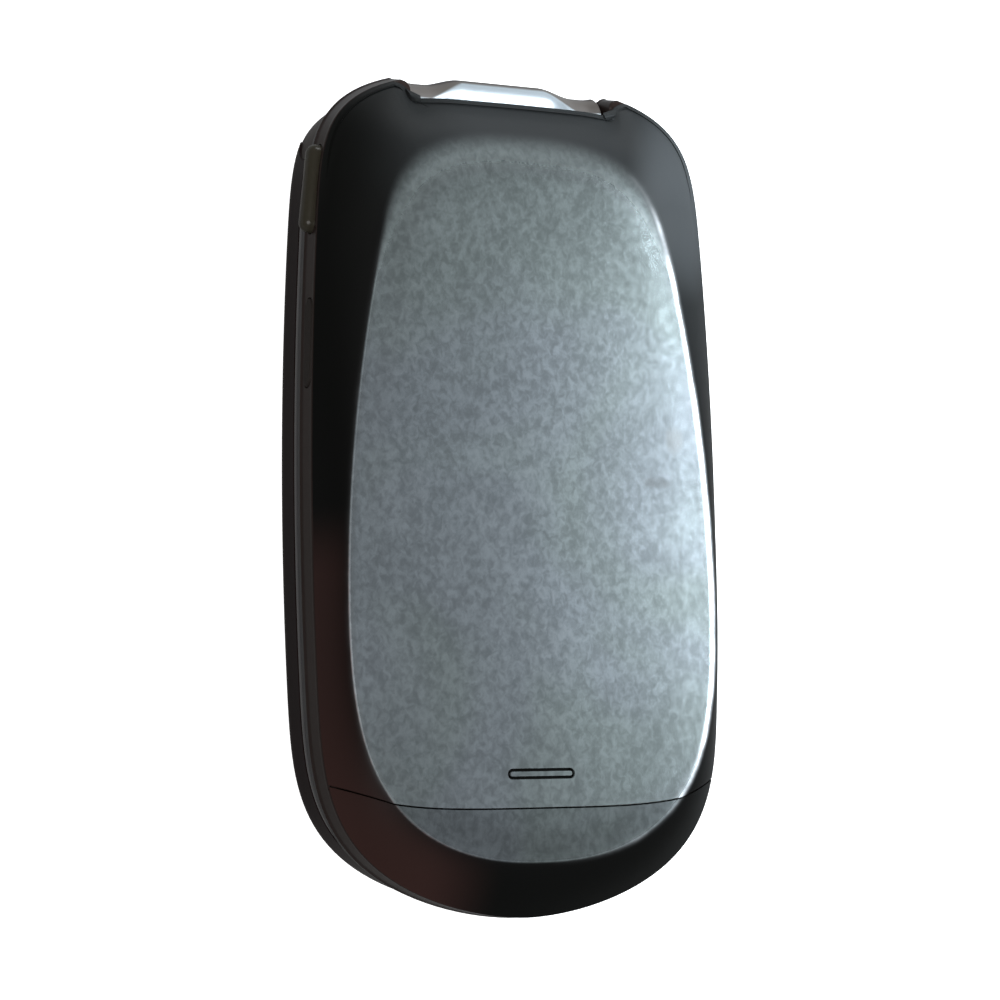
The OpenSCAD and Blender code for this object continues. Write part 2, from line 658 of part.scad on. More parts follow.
// ---- Keys: name, centre, size and corner radius ----
key_w = (body_w - 2 * keypad_side - 2 * key_space_x) / 3;
keys_top = y_hinge - numbers_from_hinge;
key_h = (keys_top - y_end - keypad_end - 3 * key_space_y) / 4;
key_corner = 1.6;
function key_x(col) = (1 - col) * (key_w + key_space_x);
function key_y(row) = keys_top - key_h / 2 - row * (key_h + key_space_y);
number_names = ["key_1", "key_2", "key_3", "key_4", "key_5", "key_6", "key_7", "key_8",
    "key_9", "key_star", "key_0", "key_hash"];
nav_y = y_hinge - nav_from_hinge;
soft_key_w = body_w / 2 - keypad_side - nav_r - key_space_x;
soft_key_h = 5.6;
soft_key_x = nav_r + key_space_x + soft_key_w / 2;
soft_key_up = 5;
soft_corner = 2;
clear_key_w = 9.6;
clear_key_h = 4.8;
clear_key_gap = 1.2;
KEYS = concat(
    [for (i = [0:11]) [number_names[i], key_x(i % 3), key_y(floor(i / 3)), key_w, key_h, key_corner]],
    [for (k = [["left_soft_key", 1, 1], ["right_soft_key", -1, 1], ["send_key", 1, -1], ["end_key", -1, -1]])
        [k[0], k[1] * soft_key_x, nav_y + k[2] * soft_key_up, soft_key_w, soft_key_h, soft_corner]],
    [["clear_key", 0, nav_y - nav_r - clear_key_gap - clear_key_h / 2, clear_key_w, clear_key_h,
        soft_corner]]);
function key_row(name) = KEYS[search([name], KEYS)[0]];

rim_w = 1.55;
band_in = 0.15;
plan_z = z_hinge;
module keypad_cover() {
    color("#1a1b1f") {
        difference() {
            intersection() {
                translate([0, 0, z_hinge - body_t / 2])
                    linear_extrude(band_low - rest_gap / 2 - z_hinge + body_t / 2) difference() {
                        polygon(mirrored(base_half(plan_z, band_in)));
                        for (k = KEYS) translate([k[1], k[2]])
                            polygon(rr_points(k[3] + 2 * key_gap, k[4] + 2 * key_gap, k[5]));
                        translate([0, nav_y]) circle(r = nav_r + key_gap);
                    }
                above_split();
            }
            translate([0, 0, plate_top]) linear_extrude(body_t)
                polygon(mirrored(base_half(plan_z, band_in + rim_w, rim_w)));
            pin_bores();
        }
        for (p = base_screws_at) difference() {
            post(p.x, p.y, plate_top, deck_z - rest_gap / 2, base_boss_r);
            post(p.x, p.y, plate_top + boss_floor, deck_z + 1, screw_r + screw_fit);
        }
    }
}

key_lip = 0.35;
module key(name) {
    k = key_row(name);
    flange = 2 * key_lip + 2 * key_gap;
    color("#c9ccd0") {
        plate(k[1], k[2], base_z - key_proud, flange_z + flange_t / 2, k[3], k[4], k[5]);
        plate(k[1], k[2], flange_z, flange_z + flange_t, k[3] + flange, k[4] + flange, k[5]);
    }
}

module nav_ring() {
    color("#9fa3a9") difference() {
        union() {
            post(0, nav_y, base_z - key_proud, flange_z + flange_t / 2, nav_r);
            post(0, nav_y, flange_z, flange_z + flange_t, nav_r + key_gap + key_lip);
        }
        post(0, nav_y, 0, body_t, ok_r + ok_gap);
    }
}

module ok_key() {
    color("#c9ccd0") post(0, nav_y, base_z - key_proud, flange_z + flange_t, ok_r);
}

// ---- Side controls on the left side ----
band_mid = (band_low + band_top) / 2;
side_span = 5;
rocker_y = y_hinge - rocker_from_hinge;
rocker_z = band_mid - 0.15;
rocker_in = 1.5;
rocker_round = 0.3;
function wall_x(y) = out_w(y, 0, y_end, ear_high(band_mid));
function wall_turn(y) = atan2(wall_x(y - side_span) - wall_x(y + side_span), 2 * side_span);
port_y = y_hinge - port_from_hinge;
hole_l = port_l - 2;
hole_h = port_h - 1.3;
port_z = board_top + thin_gap + hole_h / 2 + rest_gap;
port_t = 0.75;

// Capsule that lies on the side wall: d0 is its inner and d1 its outer face
module side_capsule(y, z, d0, d1, l, h) {
    translate([-wall_x(y), y, z]) rotate([0, 0, -wall_turn(y)]) rotate([0, -90, 0])
        translate([0, 0, d0]) linear_extrude(d1 - d0) polygon(rr_points(h, l, h / 2 - 0.01, 8));
}

module volume_rocker() {
    color("#202127") {
        side_capsule(rocker_y, rocker_z, -rocker_in, rocker_proud - rocker_round, rocker_l, rocker_h);
        side_capsule(rocker_y, rocker_z, rocker_proud - 1.2 * rocker_round, rocker_proud,
            rocker_l - 3 * rocker_round, rocker_h - 3 * rocker_round);
    }
}

module port_cover() {
    color("#17181c") side_capsule(port_y, port_z + rest_gap, -port_t, -thin_gap, port_l, port_h);
}

switch_l = 2.8;
switch_w = 1.6;
switch_h = 1.1;
module rocker_switch() {
    color("#4a4c52") translate([-wall_x(rocker_y), rocker_y, board_top + thin_gap / 2])
        rotate([0, 0, -wall_turn(rocker_y)]) for (s = [-1, 1])
            translate([rocker_in + thin_gap + run_gap, s * switch_l - switch_l / 2, 0])
                cube([switch_w, switch_l, switch_h]);
}

socket_wall = 0.4;
socket_d = 5;
module charging_socket() {
    l = hole_l + socket_wall;
    h = can_top - board_top - rest_gap;
    color("#a3a6ab") translate([-wall_x(port_y), port_y, board_top + thin_gap / 2])
        rotate([0, 0, -wall_turn(port_y)]) difference() {
            translate([wall + 1.5 * rest_gap, -l / 2, 0]) cube([socket_d, l, h]);
            translate([0, socket_wall - l / 2, socket_wall / 2])
                cube([socket_d - socket_wall, l - 2 * socket_wall, h - socket_wall]);
        }
}

housing_steps = 2;
module rear_housing() {
    low = band_low + edge_r;
    high = band_top - edge_r;
    a0 = asin((low - z_hinge) / notch_r);
    a1 = asin(min(1, (high - z_hinge) / notch_r));
    ear_in = pin_reach + run_gap;
    color("#222329") difference() {
        skin(concat([base_ring(deck_z, wall, ear_in), base_ring(band_low, wall, ear_in),
            base_ring(band_low, edge_r), base_ring(low, 0)],
            [for (i = [1:housing_steps])
                base_ring(z_hinge + notch_r * sin(a0 + (a1 - a0) * i / (housing_steps + 1)), 0)],
            [base_ring(high, 0), base_ring(band_top, edge_r), base_ring(band_top, wall, wall),
            base_ring(deck_top, wall, wall)]));
        pin_bores();
        for (p = base_screws_at) post(p.x, p.y, 0, body_t, screw_r + 3 * screw_fit);
        side_capsule(rocker_y, rocker_z, -wall - 1, 1, rocker_l + 2 * side_gap,
            rocker_h + 2 * side_gap);
        side_capsule(port_y, port_z + rest_gap, -port_t - rest_gap, 1, port_l + 2 * side_gap,
            port_h + 2 * side_gap);
        side_capsule(port_y, port_z, -wall - 1, 1, hole_l, hole_h);
    }
}

grip_above_seam = 3.7;
groove_w = 0.25;
module battery_door() {
    top = body_t - panel_crown;
    y = seam_y + grip_above_seam;
    color("#6b747c") difference() {
        back_shell(face_rows(door_edge(edge_in, notch_edge_z), door_crease(0), top),
            face_rows(door_edge(door_t + edge_in, edge_in), door_crease(crease_wall), top - door_t),
            false);
        difference() {
            plate(0, y, body_t - grip_depth, body_t + 1, grip_l, grip_w, grip_w / 2 - 0.01);
            plate(0, y, 0, body_t - rest_gap, grip_l - 2 * groove_w, grip_w - 2 * groove_w,
                grip_w / 2 - groove_w - 0.01);
        }
    }
}

module antenna_cover() {
    top = body_t - panel_crown;
    color("#5d666e") back_shell(face_rows(chin_edge(edge_in), chin_crease(0), top),
        face_rows(chin_edge(door_t + edge_in), chin_crease(crease_wall), top - door_t), true);
}

// Flat outline that follows the base, from its lower end up to the level y1
function base_points(e, y1, w1, n) = let(low = y_end + e,
    half = [for (i = [0:n]) let(y = low + (y1 - low) * pow(i / n, 1.7))
        [min(w1, out_w(y, e, low, y_top)), y]])
    concat(half, [for (i = [n:-1:1]) [-half[i].x, half[i].y]]);

antenna_in = 2.9;
antenna_h = 1.2;
module antenna() {
    color("#b08d57") translate([0, 0, deck_top + thin_gap]) linear_extrude(antenna_h) difference() {
        polygon(base_points(antenna_in, seam_y - 1.5, body_w, 8));
        for (p = base_screws_at) translate([p.x, p.y]) circle(r = screw_head_r + run_gap);
    }
}

module battery() {
    color("#35383d") plate(0, battery_y, battery_low, battery_top, battery_w, battery_l, 1.2);
}

contact_w = 8;
contact_l = 2;
contact_h = 2.2;
blade = [0.8, 0.35, 1.2];
module battery_contacts() {
    y = battery_y + battery_l / 2 + rest_gap + run_gap;
    color("#2c2e33") translate([-contact_w / 2, y, deck_top + thin_gap])
        cube([contact_w, contact_l, contact_h]);
    color("#d2a94e") for (i = [-1:1])
        translate([i * 3 * blade.x - blade.x / 2, y - run_gap, deck_top + 0.6]) cube(blade);
}

module base_sheet(z0, z1, e, y1, w1) {
    translate([0, 0, z0]) linear_extrude(z1 - z0) difference() {
        polygon(base_points(e, y1, w1, 16));
        for (p = base_screws_at) translate([p.x, p.y]) circle(r = base_boss_r + boss_gap);
    }
}

board_in = wall + 1.2;
board_w = body_w - 8.4;
module main_board() {
    color("#1f6b46") base_sheet(board_z, board_top, board_in, y_hinge - 8.6, board_w / 2);
}

can_w = 30;
can_t = 0.2;
can_x = 1;
can_gap = 3;
can_from_hinge = 16.7;
can_from_end = 22.3;
can_corner = 0.8;
module shield_cans() {
    high = y_hinge - can_from_hinge;
    low = y_end + can_from_end;
    upper = 0.48 * (high - low - can_gap);
    lower = high - low - can_gap - upper;
    color("#b3b7bc") for (c = [[high - upper / 2, upper], [low + lower / 2, lower]]) difference() {
        plate(can_x, c.x, board_top + thin_gap / 2, can_top, can_w, c.y, can_corner);
        plate(can_x, c.x, 0, can_top - can_t, can_w - 2 * can_t, c.y - 2 * can_t,
            can_corner - can_t);
    }
}

module dome_sheet() {
    color("#d8d8d2") base_sheet(dome_z, dome_z + dome_t, wall + 3, y_hinge - 10, board_w / 2 - 1);
}

microphone_r = 2;
microphone_h = 1.1;
module microphone() {
    color("#7c8086") post(0, base_screw_low_y + 3, board_top + thin_gap / 2, board_top + microphone_h,
        microphone_r);
}

module base_screws() {
    for (p = base_screws_at) screw(p.x, p.y, plate_top + plate_t, deck_top, screw_head_t - thin_gap);
}

lid_front_cover();
outer_window();
outer_display();
camera_lens();
camera_module();
lid_inner_frame();
main_window();
main_display();
earpiece_grille();
earpiece_speaker();
lid_board();
vibration_motor();
lid_bumpers();
lid_screws();
hinge_barrel();
hinge_cartridge();
hinge_shaft();
display_flex();
keypad_cover();
rear_housing();
antenna_cover();
antenna();
battery_door();
battery();
battery_contacts();
main_board();
shield_cans();
dome_sheet();
microphone();
charging_socket();
port_cover();
volume_rocker();
rocker_switch();
base_screws();
nav_ring();
ok_key();
key("left_soft_key");  // left_soft_key
key("right_soft_key");  // right_soft_key
key("send_key");  // send_key
key("clear_key");  // clear_key
key("end_key");  // end_key
key("key_1");  // key_1
key("key_2");  // key_2
key("key_3");  // key_3
key("key_4");  // key_4
key("key_5");  // key_5
key("key_6");  // key_6
key("key_7");  // key_7
key("key_8");  // key_8
key("key_9");  // key_9
key("key_star");  // key_star
key("key_0");  // key_0
key("key_hash");  // key_hash
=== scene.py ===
import json
import math

import bmesh
import bpy
import numpy as np
from mathutils import Matrix, Vector


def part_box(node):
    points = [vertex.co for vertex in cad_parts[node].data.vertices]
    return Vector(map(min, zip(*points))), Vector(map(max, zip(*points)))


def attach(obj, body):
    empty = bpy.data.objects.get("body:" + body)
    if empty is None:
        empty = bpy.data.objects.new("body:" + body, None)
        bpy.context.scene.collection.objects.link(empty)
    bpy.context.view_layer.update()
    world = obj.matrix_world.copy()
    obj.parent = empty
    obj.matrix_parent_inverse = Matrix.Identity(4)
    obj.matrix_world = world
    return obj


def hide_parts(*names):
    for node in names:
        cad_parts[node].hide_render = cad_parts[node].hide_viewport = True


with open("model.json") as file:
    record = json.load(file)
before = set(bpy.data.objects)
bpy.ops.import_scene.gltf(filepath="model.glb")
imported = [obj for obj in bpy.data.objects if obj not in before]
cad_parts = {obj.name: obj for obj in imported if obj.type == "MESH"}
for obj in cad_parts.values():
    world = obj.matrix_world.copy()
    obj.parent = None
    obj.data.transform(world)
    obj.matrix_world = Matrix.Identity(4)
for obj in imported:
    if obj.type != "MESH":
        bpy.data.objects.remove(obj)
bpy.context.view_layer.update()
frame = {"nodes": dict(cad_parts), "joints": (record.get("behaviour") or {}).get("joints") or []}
scene = bpy.context.scene
mm = 0.001
print("frame loaded:", len(frame["nodes"]), "nodes")


# all places come from the frame, in millimetres
def boxOf(node):
    low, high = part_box(node)
    return low / mm, high / mm


def middleOf(node):
    low, high = boxOf(node)
    return (low.y + high.y) / 2, (low.z + high.z) / 2


def jointPlace(name):
    joint = next(j for j in frame["joints"] if j["name"] == name)
    return Vector(joint["pos_m"]) / mm


hinge = jointPlace("lid_flip")
housingLow, housingHigh = boxOf("rear_housing")
coverHigh = boxOf("keypad_cover")[1]
doorHigh = boxOf("battery_door")[1]
lidLow, lidHigh = boxOf("lid_front_cover")
frameLow, frameHigh = boxOf("lid_inner_frame")
barrelLow, barrelHigh = boxOf("hinge_barrel")

# the outline of the phone in plan: taper and bow of the sides, and a rounded cap at each end
outline = {
    "taper": 0.013, "bow": 0.091, "earReach": 6.0, "sideSpan": 3.0,
    "lowCap": 28.3, "lowPower": 4.2, "lowRoot": 1.73,
    "highCap": 27.3, "highPower": 6.5, "highRoot": 2.3,
    "earSwell": -0.6, "earTuck": 1.7, "earCorner": 1.2, "notchGap": 0.4, "notchFillet": 0.5,
    "steps": 90,
}
yEnd = housingLow.y
yTop = hinge.y + outline["earReach"]
yMid = (yEnd + yTop) / 2
halfLength = (yTop - yEnd) / 2
halfWidth = housingHigh.x / (1 + outline["taper"] ** 2 / (4 * outline["bow"]))
bandLow = housingLow.z
bandTop = housingHigh.z
splitZ = 8.1
barrelR = (barrelHigh.z - barrelLow.z) / 2
notchHalf = barrelHigh.x + 0.3
notchR = barrelR + outline["notchGap"]


def capShape(t, power, root):
    return 1 if t <= 0 else max(0, 1 - min(t, 1) ** power) ** (1 / root)


def sideWidth(y):
    u = (y - yMid) / halfLength
    return halfWidth * (1 - outline["taper"] * u - outline["bow"] * u * u)


def outWidth(y, inset, low, high):
    lowRun = (yEnd + outline["lowCap"] - y) / (yEnd + outline["lowCap"] - low)
    highRun = (y - yTop + outline["highCap"]) / (high - yTop + outline["highCap"])
    return ((sideWidth(y) - inset) * capShape(lowRun, outline["lowPower"], outline["lowRoot"])
            * capShape(highRun, outline["highPower"], outline["highRoot"]))


def outReach(x, inset, high):
    width = sideWidth(yTop - outline["sideSpan"]) - inset
    t = (1 - (x / width) ** outline["highRoot"]) ** (1 / outline["highPower"])
    return yTop - outline["highCap"] + t * (high - yTop + outline["highCap"])


def earHigh(z):
    share = max(0, z - bandLow) / (bandTop - bandLow)
    return yTop + outline["earSwell"] - (outline["earSwell"] + outline["earTuck"]) * share


def roundAbout(centre, z, radius):
    return centre - math.sqrt(max(0, radius * radius - (z - hinge.z) ** 2))


def arcPoints(cx, cy, radius, a0, a1, n):
    angles = [math.radians(a0 + (a1 - a0) * i / n) for i in range(n + 1)]
    return [(cx + radius * math.cos(a), cy + radius * math.sin(a)) for a in angles]


def mirroredLoop(half):
    return half + [(-x, y) for x, y in half[-2:0:-1]]


def sidePoints(inset, low, high, reach):
    # the right side from the lower tip up to reach, closer together at the tip
    middle, half, steps = (low + high) / 2, (high - low) / 2, outline["steps"]
    last = math.degrees(math.asin((reach - middle) / half))
    turns = [math.radians(-90 + (last + 90) * i / steps) for i in range(steps + 1)]
    levels = [middle + half * math.sin(turn) for turn in turns]
    return [(outWidth(y, inset, low, high), y) for y in levels]


def baseLoop(z, inset, inner=0.0):
    # outline of the base half: both ears and the notch for the barrel
    high = earHigh(z) - inset
    xNotch = notchHalf + inner
    floor = roundAbout(hinge.y, z, notchR) - inset
    corner = max(0.3, outline["earCorner"] - inset / 2)
    reach = outReach(xNotch + corner, inset, high)
    points = sidePoints(inset, yEnd + inset, high, reach)
    points += arcPoints(xNotch + corner, reach - corner, corner, 120, 180, 6)
    fillet = outline["notchFillet"]
    points += arcPoints(xNotch - fillet, floor + fillet, fillet, 0, -90, 6)
    return mirroredLoop(points + [(0, floor)])


lidShape = {"inset": 0.4, "short": 0.6, "lipGap": 2.6, "corner": 0.25, "neckGap": 0.2, "runGap": 0.2,
            "sweepGap": 0.1}
earSweep = math.hypot(outReach(notchHalf + outline["earCorner"], 0, yTop - outline["earTuck"]) - hinge.y,
                      bandTop + lidShape["sweepGap"] - hinge.z)


def lidLoop(z, inset, inner=0.0):
    # outline of the lid: shoulders scooped round the ears and a neck that carries the barrel
    own = lidShape["inset"]
    low = yEnd + lidShape["short"] + inset
    high = yTop - inset
    scoop = earSweep + lidShape["runGap"]
    shoulder = min(hinge.y - lidShape["lipGap"], roundAbout(hinge.y, z, scoop)) - inset + own
    neck = roundAbout(hinge.y, z, barrelR + lidShape["neckGap"]) - inset + own
    xNeck = barrelHigh.x - inner
    corner = lidShape["corner"]
    width = outWidth(shoulder - corner, inset, low, high)
    points = sidePoints(inset, low, high, shoulder - corner)
    points += arcPoints(width - corner, shoulder - corner, corner, 30, 90, 5)
    points += arcPoints(xNeck + corner, shoulder + corner, corner, -90, -180, 5)
    points += arcPoints(xNeck - corner, neck - corner, corner, 0, 90, 5)
    return mirroredLoop(points + [(0, neck)])


def addObject(name, data):
    made = bpy.data.objects.new(name, data)
    scene.collection.objects.link(made)
    return made


def dressPiece(piece, body, replaced, material, smoothAngle=35):
    if smoothAngle:
        smoothByAngle(piece.data, smoothAngle)
    piece.data.materials.clear()
    piece.data.materials.append(materials[material])
    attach(piece, body)
    if replaced:
        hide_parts(*replaced)
    return piece


def cleanMesh(mesh, weld=0.0004 * mm):
    bm = bmesh.new()
    bm.from_mesh(mesh)
    bmesh.ops.remove_doubles(bm, verts=bm.verts, dist=weld)
    bmesh.ops.dissolve_degenerate(bm, edges=bm.edges, dist=weld)
    bmesh.ops.recalc_face_normals(bm, faces=bm.faces)
    bm.to_mesh(mesh)
    bm.free()


def smoothByAngle(mesh, angle):
    bm = bmesh.new()
    bm.from_mesh(mesh)
    limit = math.radians(angle)
    for face in bm.faces:
        face.smooth = True
    for edge in bm.edges:
        edge.smooth = len(edge.link_faces) == 2 and edge.calc_face_angle(0) < limit
    bm.to_mesh(mesh)
    bm.free()


def atHeight(loop, z):
    return [(x, y, z) for x, y in loop]


def roundedLoop(cx, cy, width, length, corner, steps=8):
    loop = []
    for sx, sy, a0 in ((1, 1, 0), (-1, 1, 90), (-1, -1, 180), (1, -1, 270)):
        loop += arcPoints(cx + sx * (width / 2 - corner), cy + sy * (length / 2 - corner), corner,
                          a0, a0 + 90, steps)
    return loop


def circleLoop(cx, cy, radius, steps=64):
    return arcPoints(cx, cy, radius, 0, 360 - 360 / steps, steps - 1)


class Builder:
    # gathers rings, walls and flat faces of one piece in a single mesh
    def __init__(self):
        self.bm = bmesh.new()

    def ring(self, points):
        return [self.bm.verts.new([c * mm for c in p]) for p in points]

    def wall(self, rings, closed=False):
        made = [self.ring(points) for points in rings]
        for j in range(len(made) if closed else len(made) - 1):
            a, b = made[j], made[(j + 1) % len(made)]
            for i in range(len(a)):
                k = (i + 1) % len(a)
                self.bm.faces.new((a[i], a[k], b[k], b[i]))

    def capped(self, rings):
        self.wall(rings)
        for points in (rings[0], rings[-1]):
            self.bm.faces.new(self.ring(points))

    def flat(self, loops, z, flip=False):
        # a flat face with holes: the first loop is the rim, the others are the holes
        edges = []
        for loop in loops:
            verts = self.ring(atHeight(loop, z))
            edges += [self.bm.edges.new((verts[i], verts[(i + 1) % len(verts)])) for i in range(len(verts))]
        bmesh.ops.triangle_fill(self.bm, edges=edges, use_beauty=True, normal=(0, 0, -1 if flip else 1))

    def well(self, makeLoop, top, bottom, edge=0.15, down=1):
        # walls of a hole from the level top to the level bottom, with a small chamfer at the top
        self.wall([atHeight(makeLoop(edge), top), atHeight(makeLoop(edge * 0.35), top + down * edge * 0.35),
                   atHeight(makeLoop(0), top + down * edge), atHeight(makeLoop(0), bottom)])

    def mesh(self, name, weld=0.0004 * mm):
        mesh = bpy.data.meshes.new(name)
        self.bm.to_mesh(mesh)
        self.bm.free()
        cleanMesh(mesh, weld)
        return mesh

    def finish(self, name, body, replaced, slot, material, smoothAngle=35):
        return dressPiece(addObject(name, self.mesh(name)), body, replaced, material, smoothAngle)


class Shading:
    # adds and links the nodes of one material or group
    def __init__(self, tree):
        self.tree = tree

    def add(self, kind, **settings):
        node = self.tree.nodes.new("ShaderNode" + kind)
        for key, value in settings.items():
            setattr(node, key, value)
        return node

    def feed(self, socket, value):
        # a socket takes a link, a number or a colour
        if isinstance(value, bpy.types.NodeSocket):
            self.tree.links.new(value, socket)
        else:
            socket.default_value = (*value, 1) if isinstance(value, tuple) else value

    def feedAll(self, node, values):
        for label, value in values.items():
            self.feed(node.inputs[label], value)

    def math(self, operation, a, b=0.0, clamp=False):
        node = self.add("Math", operation=operation, use_clamp=clamp)
        self.feed(node.inputs[0], a)
        self.feed(node.inputs[1], b)
        return node.outputs[0]

    def plus(self, a, b, clamp=False):
        return self.math("ADD", a, b, clamp)

    def times(self, a, b, clamp=False):
        return self.math("MULTIPLY", a, b, clamp)

    def squared(self, source, centre, reach):
        share = self.math("DIVIDE", self.math("SUBTRACT", source, centre), reach)
        return self.times(share, share)

    def ramp(self, source, low, high, lowOut=0.0, highOut=1.0, kind="SMOOTHSTEP"):
        node = self.add("MapRange", interpolation_type=kind)
        self.feedAll(node, {"Value": source, "From Min": low, "From Max": high,
                            "To Min": lowOut, "To Max": highOut})
        return node.outputs["Result"]

    def mix(self, factor, a, b, blend="MIX"):
        node = self.add("Mix", data_type="RGBA", blend_type=blend)
        for index, value in ((0, factor), (6, a), (7, b)):
            self.feed(node.inputs[index], value)
        return node.outputs[2]

    def noise(self, place, scale, detail=3.0, distortion=0.0, roughness=0.5):
        node = self.add("TexNoise")
        self.feedAll(node, {"Vector": place, "Scale": scale, "Detail": detail, "Distortion": distortion,
                            "Roughness": roughness})
        return node.outputs["Fac"]

    def stored(self, name):
        return self.add("Attribute", attribute_name=name).outputs["Fac"]

    def axes(self, place):
        node = self.add("SeparateXYZ")
        self.feed(node.inputs[0], place)
        return node.outputs

    def group(self, shared, place, **values):
        node = self.add("Group", node_tree=shared)
        self.feedAll(node, {"Vector": place, **values})
        return node.outputs

    def bump(self, shader, height, strength, distance):
        node = self.add("Bump")
        self.feedAll(node, {"Strength": strength, "Distance": distance * mm, "Height": height})
        self.feed(shader.inputs["Normal"], node.outputs["Normal"])


def grey(level):
    return (level, level, level)


def newGroup(name, values, outputs):
    # a shared group: a place, plain numbers with their usual values, and what it puts out
    tree = bpy.data.node_groups.new(name, "ShaderNodeTree")
    tree.interface.new_socket("Vector", in_out="INPUT", socket_type="NodeSocketVector")
    for label, value in values.items():
        tree.interface.new_socket(label, in_out="INPUT", socket_type="NodeSocketFloat").default_value = value
    for label in outputs:
        tree.interface.new_socket(label, in_out="OUTPUT", socket_type="NodeSocketFloat")
    inside, outside = tree.nodes.new("NodeGroupInput"), tree.nodes.new("NodeGroupOutput")
    return Shading(tree), inside.outputs, outside.inputs


def makeGrainGroup():
    # fine moulded or painted grain: a mask and a height from two sizes of noise
    nodes, inside, outside = newGroup("surfaceGrain", {"Size": 1.0, "Contrast": 0.5}, ("Mask", "Height"))
    scaled = nodes.add("VectorMath", operation="SCALE")
    nodes.feed(scaled.inputs[0], inside["Vector"])
    nodes.feed(scaled.inputs["Scale"], inside["Size"])
    fine = nodes.noise(scaled.outputs[0], 2600, 4)
    coarse = nodes.noise(scaled.outputs[0], 620, 3, 0.8)
    both = nodes.plus(nodes.times(fine, 0.5), nodes.times(coarse, 0.5))
    contrast = nodes.times(nodes.math("SUBTRACT", both, 0.5), inside["Contrast"])
    nodes.feed(outside["Mask"], nodes.plus(contrast, 0.5, True))
    nodes.feed(outside["Height"], both)
    return nodes.tree


def makeWearAndHighlightGroup():
    # rubbed edges with a painted highlight: a stored edge share broken up by noise
    nodes, inside, outside = newGroup("rubbedEdgeAndHighlight", {"Edge": 0.0, "Amount": 0.5}, ("Mask",))
    patchy = nodes.ramp(nodes.noise(inside["Vector"], 260, 4), 0.35, 0.7, 0.35, 1)
    nodes.feed(outside["Mask"], nodes.times(nodes.times(patchy, inside["Edge"]), inside["Amount"], True))
    return nodes.tree


def makeDustGroup():
    # a thin film of dust and finger marks, as a mask that changes slowly
    nodes, inside, outside = newGroup("handlingMarks", {"Amount": 0.3}, ("Mask",))
    broad = nodes.ramp(nodes.noise(inside["Vector"], 70, 3, 1.2), 0.42, 0.72)
    specks = nodes.ramp(nodes.noise(inside["Vector"], 1500, 2), 0.68, 0.78)
    both = nodes.math("MAXIMUM", nodes.times(broad, 0.6), specks)
    nodes.feed(outside["Mask"], nodes.times(both, inside["Amount"], True))
    return nodes.tree


grainGroup = makeGrainGroup()
wearAndHighlightGroup = makeWearAndHighlightGroup()
dustGroup = makeDustGroup()
print("node groups ready")

